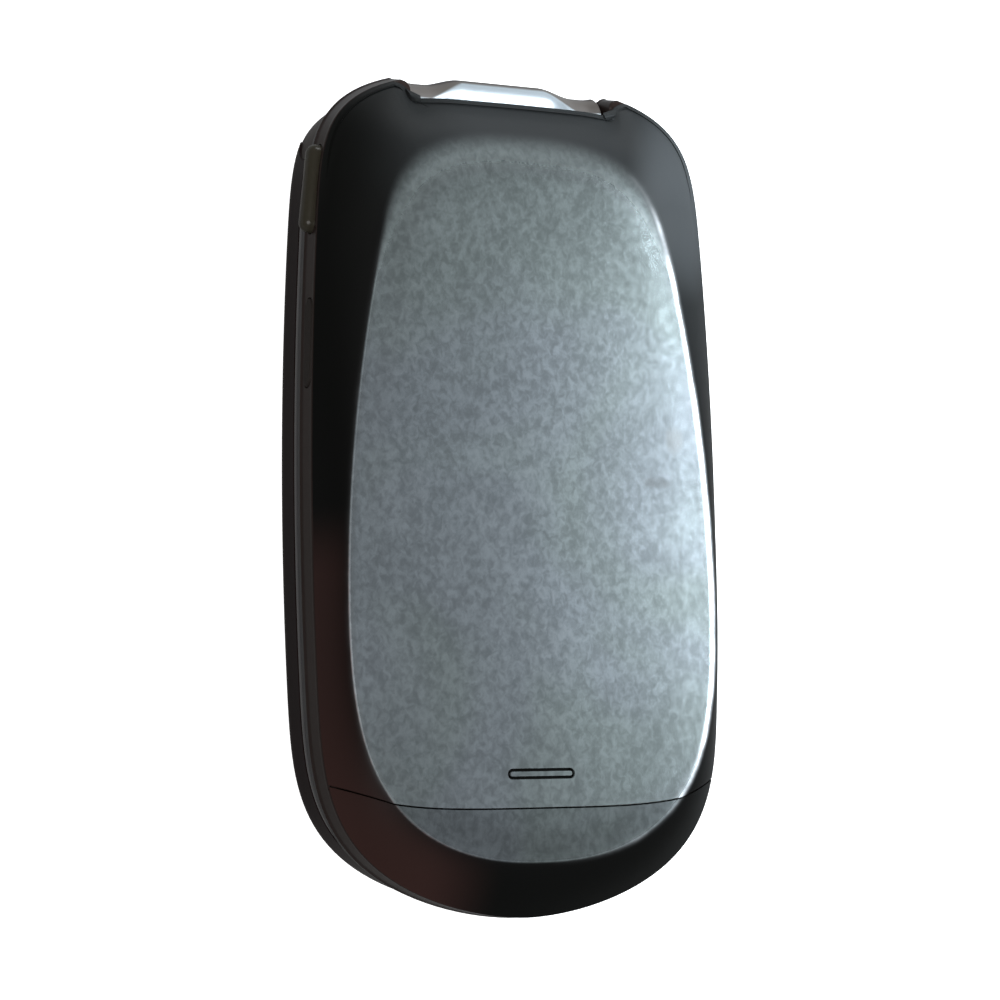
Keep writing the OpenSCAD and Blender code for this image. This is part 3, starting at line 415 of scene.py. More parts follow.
# each finish: its dark and light colour, the colour of its marks, and its other values
finishes = {
    "sideBandPlastic": ((0.013, 0.0085, 0.0075), (0.024, 0.016, 0.014), (0.05, 0.04, 0.038),
                        {"roughness": 0.3, "bump": 0.12, "marks": 0.12, "specular": 0.08}),
    "keypadFacePlastic": ((0.012, 0.012, 0.013), (0.022, 0.022, 0.024), grey(0.06),
                          {"roughness": 0.38, "bump": 0.15, "marks": 0.12, "specular": 0.3}),
    "lidGlossPlastic": ((0.006, 0.0028, 0.003), (0.010, 0.005, 0.005), (0.03, 0.022, 0.022),
                        {"roughness": 0.16, "bump": 0.03, "marks": 0.12, "specular": 0.03}),
    "rockerLacquer": ((0.02, 0.018, 0.012), (0.034, 0.03, 0.022), (0.06, 0.055, 0.045),
                      {"roughness": 0.24, "bump": 0.03, "marks": 0.1, "coat": 0.05, "specular": 0.15}),
    "portRubber": ((0.012, 0.009, 0.008), (0.02, 0.016, 0.014), (0.05, 0.045, 0.04),
                   {"roughness": 0.5, "bump": 0.25, "marks": 0.2, "specular": 0.08}),
    "padRubber": ((0.03, 0.03, 0.032), (0.055, 0.055, 0.058), grey(0.12),
                  {"roughness": 0.75, "bump": 0.4, "marks": 0.25}),
    "innerFramePlastic": ((0.012, 0.012, 0.014), (0.02, 0.02, 0.022), grey(0.07),
                          {"roughness": 0.22, "bump": 0.05, "marks": 0.15, "coat": 0.4}),
    "keyCapPaint": ((0.42, 0.44, 0.47), (0.52, 0.54, 0.57), (0.3, 0.31, 0.33),
                    {"roughness": 0.32, "bump": 0.08, "marks": 0.12, "metallic": 0.35, "coat": 0.3}),
    "keyInk": ((0.012, 0.012, 0.014), (0.03, 0.03, 0.033), grey(0.07),
               {"roughness": 0.5, "bump": 0.05, "marks": 0.1}),
    "endKeyInk": ((0.42, 0.02, 0.02), (0.52, 0.03, 0.025), (0.3, 0.05, 0.05),
                  {"roughness": 0.45, "bump": 0.05, "marks": 0.1}),
    "sendKeyInk": ((0.02, 0.26, 0.05), (0.03, 0.34, 0.07), (0.05, 0.2, 0.07),
                   {"roughness": 0.45, "bump": 0.05, "marks": 0.1}),
    "ringMetal": ((0.34, 0.35, 0.37), (0.46, 0.47, 0.49), (0.3, 0.3, 0.31),
                  {"roughness": 0.26, "bump": 0.08, "marks": 0.12, "metallic": 0.9, "grainSize": 1.4}),
    "platedSteel": ((0.42, 0.42, 0.43), (0.6, 0.6, 0.61), grey(0.4),
                    {"roughness": 0.28, "bump": 0.1, "marks": 0.2, "metallic": 1.0}),
    "platedCan": (grey(0.5), (0.66, 0.66, 0.65), (0.5, 0.49, 0.47),
                  {"roughness": 0.34, "bump": 0.15, "marks": 0.2, "metallic": 1.0}),
    "boardMask": ((0.012, 0.07, 0.035), (0.02, 0.12, 0.055), (0.04, 0.15, 0.08),
                  {"roughness": 0.35, "bump": 0.2, "marks": 0.2, "coat": 0.3}),
    "copperFilm": ((0.5, 0.26, 0.09), (0.66, 0.38, 0.16), (0.4, 0.25, 0.12),
                   {"roughness": 0.35, "bump": 0.08, "marks": 0.15, "metallic": 0.8}),
    "batteryWrap": ((0.045, 0.047, 0.052), (0.075, 0.078, 0.085), (0.14, 0.14, 0.145),
                    {"roughness": 0.42, "bump": 0.2, "marks": 0.25}),
    "domeFilm": ((0.6, 0.6, 0.57), (0.74, 0.74, 0.7), (0.5, 0.5, 0.47),
                 {"roughness": 0.4, "bump": 0.1, "marks": 0.2}),
    "displayPanel": ((0.012, 0.016, 0.022), (0.022, 0.028, 0.036), (0.04, 0.045, 0.05),
                     {"roughness": 0.12, "bump": 0.02, "marks": 0.1, "coat": 0.5}),
    "windowPrint": ((0.006, 0.006, 0.008), (0.012, 0.012, 0.014), (0.04, 0.04, 0.045),
                    {"roughness": 0.08, "bump": 0.01, "marks": 0.12, "coat": 0.8}),
    "lensGlass": ((0.008, 0.008, 0.02), (0.02, 0.016, 0.04), (0.04, 0.04, 0.06),
                  {"roughness": 0.05, "bump": 0.01, "marks": 0.05, "coat": 1.0}),
}
glass = {"tint": (0.55, 0.58, 0.6), "roughness": 0.03, "clear": 0.9, "IOR": 1.49, "marks": 0.25}


def startMaterial(name):
    material = bpy.data.materials.new(name)
    material.use_nodes = True
    nodes = Shading(material.node_tree)
    return material, nodes, nodes.tree.nodes["Principled BSDF"], nodes.add("TexCoord").outputs["Object"]


def makeFinish(name, dark, light, marked, values):
    # one procedural finish: base colour with grain and marks, roughness and a fine bump
    material, nodes, shader, place = startMaterial(name)
    grain = nodes.group(grainGroup, place, Size=values.get("grainSize", 1.0), Contrast=0.8)
    marks = nodes.group(dustGroup, place, Amount=values["marks"])["Mask"]
    nodes.feedAll(shader, {
        "Base Color": nodes.mix(marks, nodes.mix(grain["Mask"], dark, light), marked),
        "Roughness": nodes.plus(nodes.times(marks, 0.25), values["roughness"], True),
        "Metallic": values.get("metallic", 0.0), "Specular IOR Level": values.get("specular", 0.5),
        "Coat Weight": values.get("coat", 0.0), "Coat Roughness": 0.05})
    nodes.bump(shader, grain["Height"], values["bump"], 0.02)
    return material


def makeGlass(name):
    material, nodes, shader, place = startMaterial(name)
    marks = nodes.group(dustGroup, place, Amount=glass["marks"])["Mask"]
    nodes.feedAll(shader, {
        "Roughness": nodes.plus(nodes.times(marks, 0.2), glass["roughness"]), "Base Color": glass["tint"],
        "Transmission Weight": glass["clear"], "IOR": glass["IOR"]})
    return material


materials = {name: makeFinish(name, *finish) for name, finish in finishes.items()}
materials["windowGlass"] = makeGlass("windowGlass")
print("materials ready:", len(materials))

back = {
    "panelHalf": 21.9, "panelTaper": 4.0, "panelBow": 6.5, "panelLow": 6.3, "panelHigh": 4.0,
    "panelFrom": 21.2, "lowPower": 5.8, "lowRoot": 2.32, "highPower": 5.4, "highRoot": 2.75,
    "seamFromEnd": 12.4, "seamRise": 3.3, "seam": 0.22, "crown": 0.15, "lean": 0.6,
    "edgeInset": 0.15, "edgeGap": 0.1, "notchEdgeY": 0.6, "notchBow": 0.15, "notchEdgeZ": 1.0,
    "notchCorner": 0.4, "earCorner": 2.4, "calm": 2.4, "calmFrom": 29.0, "calmTo": 36.0,
    "creaseSoft": 0.16, "creaseSoftTop": 3.2, "softFrom": 24.0, "softTo": 39.0,
    "seamDrop": 0.2, "lipShift": 0.03, "shell": 0.75, "chinShell": 0.3, "rimIn": 0.16, "rimDrop": 0.1,
    "rimRise": 0.02, "bevelColumns": 16, "panelColumns": 16, "rows": 150, "chinRows": 60,
    "gripAboveSeam": 3.7, "gripLength": 8.2, "gripWidth": 1.2, "gripDepth": 0.4, "gripLine": 0.34,
}
panelLow = yEnd + back["panelLow"]
panelHigh = hinge.y - back["panelHigh"]
seamY = yEnd + back["seamFromEnd"]
backTop = doorHigh.z - back["crown"]
edgeZ = bandTop + back["edgeGap"]


def panelSide(u):
    return back["panelHalf"] - back["panelTaper"] * u - back["panelBow"] * u * u


def panelWidth(y):
    upper = (y - yMid - back["panelFrom"]) / (panelHigh - yMid - back["panelFrom"])
    return (panelSide((y - yMid) / halfLength)
            * capShape((yMid - y) / (yMid - panelLow), back["lowPower"], back["lowRoot"])
            * capShape(upper, back["highPower"], back["highRoot"]))


def panelReach(x):
    width = panelSide((panelHigh - yMid) / halfLength)
    t = (1 - (abs(x) / width) ** back["highRoot"]) ** (1 / back["highPower"])
    return yMid + back["panelFrom"] + t * (panelHigh - yMid - back["panelFrom"])


def seamBend(x):
    return back["seamRise"] * (abs(x) / halfWidth) ** 4


def cosineRun(low, high, count):
    # levels that crowd towards both ends
    return [(low + high) / 2 - (high - low) / 2 * math.cos(math.pi * i / count) for i in range(count + 1)]


def segmentDistance(points, line):
    # distance from each point to a polyline of (x, y, z), and the z of the nearest place on it
    best = np.full(len(points), 1e9)
    height = np.zeros(len(points))
    for a, b in zip(line[:-1], line[1:]):
        run = b[:2] - a[:2]
        t = np.clip(((points - a[:2]) @ run) / max(run @ run, 1e-12), 0, 1)
        gap = np.hypot(*(points - (a[:2] + t[:, None] * run)).T)
        closer = gap < best
        best[closer] = gap[closer]
        height[closer] = (a[2] + t * (b[2] - a[2]))[closer]
    return best, height


def smoothStep(value, low, high):
    t = np.clip((value - low) / (high - low), 0, 1)
    return t * t * (3 - 2 * t)


def notchEdge(high, inset):
    # the door's edge from the top of the ear, round its inner corner and along the notch
    corner, fillet, count = back["earCorner"], back["notchCorner"], 14
    notchY = hinge.y + back["notchEdgeY"]
    centre = notchHalf + corner
    for _ in range(4):
        reach = outReach(centre, inset, high)
        last = 180 - math.degrees(math.asin((notchY + fillet - reach + corner) / corner))
        centre = notchHalf - corner * math.cos(math.radians(last))
    plan = arcPoints(centre, reach - corner, corner, 105, last, 10)
    plan.append((notchHalf - 0.3 * fillet, notchY + 0.3 * fillet))
    for i in range(count + 1):
        share = 1 - i / count
        plan.append(((notchHalf - fillet) * share, notchY + back["notchBow"] * (1 - share * share)))
    rise = [back["notchEdgeZ"] * float(smoothStep(notchHalf - x, -1.5, 4.5)) for x, _ in plan]
    return reach, [(x, y, edgeZ + up) for (x, y), up in zip(plan, rise)]


def backEdge():
    # the half outline that the door and the antenna cover share, from the lower tip to the notch
    inset = back["edgeInset"]
    high = earHigh(edgeZ) - inset
    reach, notch = notchEdge(high, inset)
    low = yEnd + inset
    levels = cosineRun(low, reach, 240)
    return [(outWidth(y, inset, low, high), y, edgeZ) for y in levels] + notch


edgeLine = np.array(backEdge())
creaseLine = np.array([(panelWidth(y), y, 0) for y in cosineRun(panelLow, panelHigh, 260)])


def backHeight(points):
    # z of the back above plan points, and how far each lies outside the crease
    flat = np.abs(points * np.array([1, 0])) + points * np.array([0, 1])
    toCrease, _ = segmentDistance(flat, creaseLine)
    toEdge, rim = segmentDistance(flat, edgeLine)
    widths = np.array([panelWidth(y) if panelLow < y < panelHigh else -1 for y in flat[:, 1]])
    outside = np.where(flat[:, 0] > widths, toCrease, -toCrease)
    soften = smoothStep(flat[:, 1], back["softFrom"], back["softTo"])
    soft = back["creaseSoft"] + (back["creaseSoftTop"] - back["creaseSoft"]) * soften
    lean = back["lean"] * (1 - 0.75 * soften)
    across = np.maximum(toEdge + outside, 0.3)
    share = np.minimum((outside + np.sqrt(outside ** 2 + soft ** 2)) / 2 / across, 1)
    drop = lean * share + (1 - lean) * share ** 2
    crown = back["crown"] * np.clip(1 - (flat[:, 0] / back["panelHalf"]) ** 2, 0, 1)
    crown *= smoothStep(-outside, 0, 4)
    return backTop - (backTop - rim) * drop + crown, outside


def columnShares(count, power=1.7):
    # shares from 0 to 1 that crowd towards 1, where the crease lies
    return [1 - (1 - i / count) ** power for i in range(count + 1)]


def backGrid(edges, creases):
    # rows of plan points: edge, bevel, crease, panel to the centre line and on to the other side
    bevelShares = columnShares(back["bevelColumns"], 1.5)
    panelShares = [1 - s for s in reversed(columnShares(back["panelColumns"], 1.6))]
    last = len(edges) - 1
    rows = []
    for j, (edge, crease) in enumerate(zip(edges, creases)):
        fade = max(0, 1 - j / (len(edges) * 0.22))
        half = []
        for s in bevelShares:
            half.append((edge[0] + (crease[0] - edge[0]) * s, edge[1] + (crease[1] - edge[1]) * s))
        for s in panelShares[1:]:
            x = crease[0] * (1 - s)
            half.append((x, crease[1] - (seamBend(crease[0]) - seamBend(x)) * fade))
        if j == last:
            half = half[:len(bevelShares)] + [half[len(bevelShares) - 1]] * back["panelColumns"]
        rows.append([(-x, y) for x, y in half] + half[-2::-1])
    return rows


def calmHeight(points):
    # the height of the back, evened out round the ears and the notch, where the nearest edge changes
    z, outside = backHeight(points)
    toEdge, _ = segmentDistance(np.abs(points * np.array([1, 0])) + points * np.array([0, 1]), edgeLine)
    upper = smoothStep(points[:, 1], back["calmFrom"], back["calmTo"])
    reach = np.minimum(back["calm"], 0.85 * toEdge) * upper
    near = np.nonzero(reach > 0.02)[0]
    total = z[near].copy()
    steps = [(ring, math.tau * (i + ring) / 8) for ring in (0.5, 1.0) for i in range(8)]
    for ring, turn in steps:
        shift = ring * reach[near, None] * np.array([math.cos(turn), math.sin(turn)])
        total += backHeight(points[near] + shift)[0]
    z[near] = total / (1 + len(steps))
    return z, outside


def backPiece(name, edges, creases, lipShift, body, replaced, material):
    rows = backGrid(edges, creases)
    n = len(rows[0])
    plan = np.array([p for row in rows for p in row])
    z, _ = calmHeight(plan)
    points = [(p[0], p[1], h) for p, h in zip(plan, z)]
    faces = [(j * n + k, j * n + k + 1, (j + 1) * n + k + 1, (j + 1) * n + k)
             for j in range(len(rows) - 1) for k in range(n - 1)]
    # the rim rolls under along the outer edge, and the edge at the seam drops a little
    total = len(points)
    rolled = []
    for j in range(len(rows)):
        for k in (0, n - 1):
            x, y, h = points[j * n + k]
            inward = back["rimIn"] / (math.hypot(x, y - yMid) or 1)
            outX = -abs(x) if k == 0 else abs(x)
            rolled.append((x - inward * outX, y - inward * (y - yMid), h - back["rimDrop"]))
            points[j * n + k] = (x, y, h + back["rimRise"])
    points += rolled
    for j in range(len(rows) - 1):
        faces.append((total + 2 * j, j * n, (j + 1) * n, total + 2 * j + 2))
        faces.append(((j + 1) * n - 1, total + 2 * j + 1, total + 2 * j + 3, (j + 2) * n - 1))
    start = len(points)
    for k in range(n):
        x, y, h = points[k]
        points.append((x, y + lipShift, h - back["seamDrop"]))
    for k in range(n - 1):
        faces.append((k, start + k, start + k + 1, k + 1))
    mesh = bpy.data.meshes.new(name)
    mesh.from_pydata([tuple(c * mm for c in p) for p in points], [], faces)
    cleanMesh(mesh)
    return dressPiece(addObject(name, mesh), body, replaced, material, 50)


shares = {"topFrom": 22.0, "topTo": 38.0, "soft": 0.16, "softTop": 2.4, "creaseIn": 0.12, "creaseWide": 0.3,
          "shadeReach": 2.2, "cutDepth": 0.09, "cutBelow": 30.0}


def storeShares(piece):
    # how much panel, rubbed crease with its painted highlight, painted shade on the bevel and bare cut with
    # painted shade there is at each point, for the paint
    mesh = piece.data
    co = np.zeros(len(mesh.vertices) * 3)
    mesh.vertices.foreach_get("co", co)
    co = co.reshape(-1, 3) / mm
    surface, outside = backHeight(co[:, :2])
    top = smoothStep(co[:, 1], shares["topFrom"], shares["topTo"])
    blur = shares["soft"] + shares["softTop"] * top
    panel = 1 - smoothStep(outside, -blur * 1.6, blur * 0.4)
    crease = np.exp(-((outside + shares["creaseIn"]) / shares["creaseWide"]) ** 2) * (1 - top)
    shade = np.exp(-np.maximum(outside, 0) / shares["shadeReach"]) * (outside > 0) * (1 - 0.6 * top)
    cut = (surface - co[:, 2] > shares["cutDepth"]) * (co[:, 1] < shares["cutBelow"])
    for label, values in (("panelShare", panel), ("creaseShare", crease), ("shadeShare", shade),
                          ("cutBareAndShadeShare", cut)):
        attribute = mesh.attributes.new(label, "FLOAT", "POINT")
        attribute.data.foreach_set("value", values.astype(np.float32))


# places in this dictionary are in metres, as (from, to) along X or Y; smudges are in millimetres
paint = {
    "panelCool": (0.228, 0.254, 0.272), "panelGreen": (0.217, 0.249, 0.25), "creaseShade": 0.003,
    "bevelPaleReflection": (0.105, 0.116, 0.124), "bevelPaintedShade": (0.003, 0.0032, 0.0029),
    "bevelBrownReflection": (0.034, 0.0165, 0.0145), "creaseWornHighlight": (0.82, 0.86, 0.9),
    "metal": 0.86, "roughPanel": 0.24, "roughBevel": 0.42, "specular": 0.06, "bump": 0.055,
    "mottle": 0.65, "mottleDark": 0.36, "mottleLight": 0.62, "chinDim": 0.68, "chinRubbedHighlight": 0.15,
    "brownReflectionX": (-0.014, -0.004), "brownReflectionY": (-0.011, -0.002), "topX": (-0.022, -0.004), "topY": (0.026, 0.038),
    "topPaleReflection": 0.19, "rightX": (0.011, 0.019), "rightY": (0.0, 0.026), "rightPaleReflection": 0.13,
    "cornerX": (0.0205, 0.0065), "cornerY": (0.0345, 0.0105), "cornerPaleReflection": 0.38, "rubbedHighlightX": (0.0, 0.014),
    "smudges": ((15.4, 0.7, 2.0, 0.75, 0.6, (0.12, 0.125, 0.13)),
                (17.8, 5.65, 1.4, 1.9, 0.5, (0.2, 0.205, 0.205))),
}


def makeBackPaint(name, dim, rubbedAndHighlight):
    # satin metallic paint: mottled grey panel, bevels painted near-black as painted shade with painted
    # reflections, a rubbed crease with a painted highlight and two smudges
    material, nodes, shader, place = startMaterial(name)
    x, y, _ = nodes.axes(place)
    grain = nodes.group(grainGroup, place, Size=1.0, Contrast=1.6)
    marks = nodes.group(dustGroup, place, Amount=0.1)["Mask"]
    greenShare = nodes.ramp(nodes.noise(place, 34, 2, 0.8), 0.4, 0.62)
    panel = nodes.mix(greenShare, paint["panelCool"], paint["panelGreen"])
    # short wavy strokes of the moulding under the paint
    stretched = nodes.add("Mapping")
    stretched.inputs["Scale"].default_value = (1, 0.8, 1)
    stretched.inputs["Rotation"].default_value = (0, 0, 0.5)
    nodes.feed(stretched.inputs["Vector"], place)
    mottle = nodes.ramp(nodes.noise(stretched.outputs[0], 1250, 5, 0.5, 0.6), 0.3, 0.7)
    strokes = nodes.mix(mottle, grey(paint["mottleDark"]), grey(paint["mottleLight"]))
    panel = nodes.mix(paint["mottle"], panel, strokes, "OVERLAY")
    clouds = nodes.ramp(nodes.noise(place, 60, 4, 0.7), 0.3, 0.75, 0.94, 1.06)
    panel = nodes.mix(1.0, panel, clouds, "MULTIPLY")
    # finger smudges near the right edge of the panel
    for atX, atY, wide, high, amount, colour in paint["smudges"]:
        gap = nodes.plus(nodes.squared(x, atX * mm, wide * mm), nodes.squared(y, atY * mm, high * mm))
        broken = nodes.plus(gap, nodes.times(nodes.noise(place, 900, 3), 1.2))
        panel = nodes.mix(nodes.ramp(broken, 0.6, 1.7, amount, 0), panel, colour)
    panel = nodes.mix(1.0, panel, grey(dim), "MULTIPLY")
    # painted shade and painted reflection: near-black bevels, reddish brown towards the lower left
    brown = nodes.times(nodes.ramp(x, *paint["brownReflectionX"], 1, 0), nodes.ramp(y, *paint["brownReflectionY"], 1, 0))
    bevel = nodes.mix(brown, paint["bevelPaintedShade"], paint["bevelBrownReflection"])
    bevel = nodes.mix(nodes.times(nodes.stored("shadeShare"), 0.85), bevel, grey(paint["creaseShade"]))
    # painted reflection: the bevel is painted paler towards the hinge end and most of all at its right
    # corner
    topReflectionShare = nodes.times(nodes.ramp(x, *paint["topX"], 0, paint["topPaleReflection"]), nodes.ramp(y, *paint["topY"]))
    rightReflectionShare = nodes.times(nodes.ramp(x, *paint["rightX"], 0, paint["rightPaleReflection"]),
                             nodes.ramp(y, *paint["rightY"]))
    corner = nodes.plus(nodes.squared(x, *paint["cornerX"]), nodes.squared(y, *paint["cornerY"]))
    pale = nodes.plus(nodes.math("MAXIMUM", topReflectionShare, rightReflectionShare),
                      nodes.ramp(corner, 0.0, 1.6, paint["cornerPaleReflection"], 0), True)
    bevel = nodes.mix(pale, bevel, paint["bevelPaleReflection"])
    panelShare = nodes.stored("panelShare")
    # a rubbed crease and a painted highlight: near white along the crease, strongest on the right side
    wornAndHighlight = nodes.group(wearAndHighlightGroup, place, Edge=nodes.stored("creaseShare"), Amount=rubbedAndHighlight)["Mask"]
    wornHighlightShare = nodes.times(wornAndHighlight, nodes.plus(nodes.ramp(x, *paint["rubbedHighlightX"]), 0.03))
    colour = nodes.mix(wornHighlightShare, nodes.mix(panelShare, bevel, panel), paint["creaseWornHighlight"])
    # the cut edges at the seam and in the grip are bare dark plastic, with painted shade in the groove and
    # the seam gap
    bareAndShade = nodes.stored("cutBareAndShadeShare")
    metal = nodes.times(nodes.math("MAXIMUM", panelShare, wornHighlightShare), paint["metal"])
    base = nodes.ramp(panelShare, 0, 1, paint["roughBevel"], paint["roughPanel"], "LINEAR")
    nodes.feedAll(shader, {
        "Base Color": nodes.mix(bareAndShade, colour, paint["bevelPaintedShade"]),
        "Metallic": nodes.times(metal, nodes.math("SUBTRACT", 1.0, bareAndShade)),
        "Roughness": nodes.plus(nodes.times(mottle, 0.012), nodes.plus(nodes.times(marks, 0.08), base)),
        "Specular IOR Level": paint["specular"]})
    nodes.bump(shader, nodes.plus(grain["Height"], nodes.times(mottle, 0.8)), paint["bump"], 0.03)
    return material


materials["satinBackPaint"] = makeBackPaint("satinBackPaint", 1.0, 1.0)
materials["satinChinPaint"] = makeBackPaint("satinChinPaint", paint["chinDim"], paint["chinRubbedHighlight"])


def sineRun(low, high, count):
    # levels that crowd towards the second one
    return [low + (high - low) * math.sin(math.pi / 2 * i / count) for i in range(count + 1)]


def buildDoor():
    inset = back["edgeInset"]
    high = earHigh(edgeZ) - inset
    reach, notch = notchEdge(high, inset)
    count = back["rows"]
    y0 = seamY + back["seam"] / 2 + seamBend(sideWidth(seamY))
    edges = [(outWidth(y, inset, yEnd + inset, high), y) for y in sineRun(y0, reach, count)]
    edges += [(x, y) for x, y, _ in notch]
    y1 = seamY + back["seam"] / 2 + seamBend(panelWidth(seamY))
    yLast = panelReach(notchHalf)
    creases = [(panelWidth(y), y) for y in sineRun(y1, yLast, count)]
    rest = len(edges) - len(creases)
    creases += [(notchHalf * (1 - i / rest), panelReach(notchHalf * (1 - i / rest)))
                for i in range(1, rest + 1)]
    return backPiece("satinBatteryDoor", edges, creases, -back["lipShift"], "door", ["battery_door"],
                     "satinBackPaint")


def buildChin():
    inset = back["edgeInset"]
    low = yEnd + inset
    count = back["chinRows"]
    y0 = seamY - back["seam"] / 2 + seamBend(sideWidth(seamY))
    edges = [(outWidth(y, inset, low, yTop), y) for y in sineRun(y0, low, count)]
    y1 = seamY - back["seam"] / 2 + seamBend(panelWidth(seamY))
    creases = [(panelWidth(y) if y > panelLow else 0, y) for y in sineRun(y1, panelLow, count)]
    return backPiece("satinAntennaCover", edges, creases, back["lipShift"], "base", ["antenna_cover"],
                     "satinChinPaint")


def thicken(piece, thickness):
    modifier = piece.modifiers.new("shell", "SOLIDIFY")
    modifier.thickness = thickness * mm
    modifier.offset = -1
    modifier.use_even_offset = False


def cutGrip(door):
    # a groove round a small bar, pressed into the panel
    y = seamY + back["gripAboveSeam"]
    width, length, line = back["gripWidth"], back["gripLength"], back["gripLine"]
    top = doorHigh.z
    maker = Builder()
    rings = []
    floor, above = top - back["gripDepth"], top + 0.5
    for grow, z in ((0, above), (0, floor), (-line, floor), (-line, above)):
        rings.append(atHeight(roundedLoop(0, y, length + 2 * grow, width + 2 * grow,
                                          width / 2 + grow - 0.01, 10), z))
    maker.wall(rings, closed=True)
    applyCut(door, maker.mesh("gripCutter"))


def applyCut(piece, cutterMesh):
    cutter = addObject("cutter", cutterMesh)
    modifier = piece.modifiers.new("cut", "BOOLEAN")
    modifier.operation = "DIFFERENCE"
    modifier.solver = "EXACT"
    modifier.object = cutter
    bpy.context.view_layer.update()
    evaluated = piece.evaluated_get(bpy.context.evaluated_depsgraph_get())
    result = bpy.data.meshes.new_from_object(evaluated)
    piece.modifiers.clear()
    old = piece.data
    piece.data = result
    result.name = old.name
    bpy.data.objects.remove(cutter)


door = buildDoor()
thicken(door, back["shell"])
cutGrip(door)
storeShares(door)
chin = buildChin()
thicken(chin, back["chinShell"])
storeShares(chin)
print("back shells ready")

band = {"wall": 1.3, "deckUnderTop": 0.6, "deckThick": 0.5, "earInside": 3.7, "edge": 0.22}


def bandRings():
    # from the deck's underside, down the inner wall, round the outside and back to the deck
    deckTop = bandTop - band["deckUnderTop"]
    deckLow = deckTop - band["deckThick"]
    wall = band["wall"]
    rings = [(deckLow, wall, band["earInside"]), (bandLow, wall, band["earInside"]),
             (bandLow, band["edge"], 0), (bandLow + 0.06, 0.07, 0), (bandLow + 0.14, 0.0, 0),
             (bandLow + 0.24, 0.02, 0), (bandLow + 0.38, 0.10, 0), (bandLow + 0.6, 0.15, 0)]
    for i in range(1, 8):
        z = bandLow + 0.6 + (bandTop - bandLow - 1.2) * i / 8
        rings.append((z, 0.15, 0))
    rings += [(bandTop - 0.6, 0.15, 0), (bandTop - 0.3, 0.12, 0), (bandTop - 0.12, 0.14, 0),
              (bandTop - 0.03, 0.2, 0), (bandTop, 0.3, 0), (bandTop, wall, wall),
              (deckTop, wall, wall)]
    return [atHeight(baseLoop(z, inset, inner), z) for z, inset, inner in rings]


side = {"rockerLength": 10.2, "rockerHeight": 2.4, "rockerIn": 1.5, "rockerSpare": 0.2, "portLength": 10.0,
        "portHeight": 2.3, "portThick": 0.75, "portSpare": 0.15, "gap": 0.12, "span": 5.0}
rockerY, rockerZ = middleOf("volume_rocker")
portY, portZ = middleOf("port_cover")


def capsuleRings(y, z, profile, length, height, steps=10):
    # rings of a capsule on the left side wall, for a profile of (how far out, how much smaller)
    wallX, before, after = (outWidth(level, 0, yEnd, earHigh((bandLow + bandTop) / 2))
                            for level in (y, y - side["span"], y + side["span"]))
    turn = math.atan2(before - after, 2 * side["span"])
    place = Matrix.Translation((-wallX, y, z)) @ Matrix.Rotation(-turn, 4, "Z")
    rings = []
    for reach, less in profile:
        loop = roundedLoop(0, 0, length - 2 * less, height - 2 * less, height / 2 - less - 0.01, steps)
        rings.append([tuple(place @ Vector((-reach, a, b))) for a, b in loop])
    return rings


def buildBand():
    maker = Builder()
    maker.wall(bandRings())
    piece = maker.finish("rearHousingBand", "base", ["rear_housing"], "satin_black", "sideBandPlastic", 40)
    bm = bmesh.new()
    bm.from_mesh(piece.data)
    for lowest in ((bandTop - 0.8) * mm, 0):
        edges = [e for e in bm.edges if len(e.link_faces) == 1 and e.verts[0].co.z > lowest]
        bmesh.ops.triangle_fill(bm, edges=edges, use_beauty=True)
    bmesh.ops.recalc_face_normals(bm, faces=bm.faces)
    bm.to_mesh(piece.data)
    bm.free()
    gap = side["gap"]
    for y, z, part in ((rockerY, rockerZ, "rocker"), (portY, portZ, "port")):
        depth = side["rockerIn" if part == "rocker" else "portThick"] + side[part + "Spare"]
        maker = Builder()
        maker.capped(capsuleRings(y, z, ((-depth, -gap), (1.0, -gap)), side[part + "Length"],
                                  side[part + "Height"]))
        applyCut(piece, maker.mesh("slotCutter"))
    smoothByAngle(piece.data, 40)


def sidePiece(name, part, y, z, profile, body, node, material):
    maker = Builder()
    maker.capped(capsuleRings(y, z, profile, side[part + "Length"], side[part + "Height"], 12))
    maker.finish(name, body, [node], "gloss_black", material, 40)


buildBand()
sidePiece("glossVolumeRocker", "rocker", rockerY, rockerZ,
          [(-side["rockerIn"], 0.02), (0.0, 0.02), (0.22, 0.04), (0.44, 0.11), (0.64, 0.22),
           (0.81, 0.37), (0.94, 0.55), (1.02, 0.75), (1.06, 1.0)],
          "rocker", "volume_rocker", "rockerLacquer")
sidePiece("rubberPortCover", "port", portY, portZ,
          [(-side["portThick"], 0.02), (-0.16, 0.02), (-0.09, 0.05), (-0.055, 0.13), (-0.05, 0.25),
           (-0.05, 0.8)],
          "port_flap", "port_cover", "portRubber")
print("side band, rocker and socket cover ready")

lid = {"wall": 1.3, "roundWide": 3.3, "roundHigh": 2.6, "innerEdge": 0.25, "rimEdge": 0.12,
       "windowEdge": 0.1, "windowGap": 0.1, "holeIn": 1.5, "outerCorner": 4.0, "mainCorner": 2.0,
       "bezel": 2.4, "screwHead": 0.5, "screwBore": 0.8, "padStep": 3.0, "padR": 1.4,
       "headR": 1.3}


def plateLoop(node, grow=0.0, corner=2.0, steps=10):
    low, high = boxOf(node)
    middle, size = (low + high) / 2, high - low
    return lambda more=0.0: roundedLoop(middle.x, middle.y, size.x + 2 * (grow + more),
                                        size.y + 2 * (grow + more), max(0.05, corner + more), steps)


def circleAt(x, y, radius, steps=48):
    return lambda more=0.0: circleLoop(x, y, radius + more, steps)


def shoulderLevels():
    neckR = barrelR + lidShape["neckGap"]
    return [hinge.z - neckR * math.cos(math.radians(a)) for a in range(0, 55, 9)]


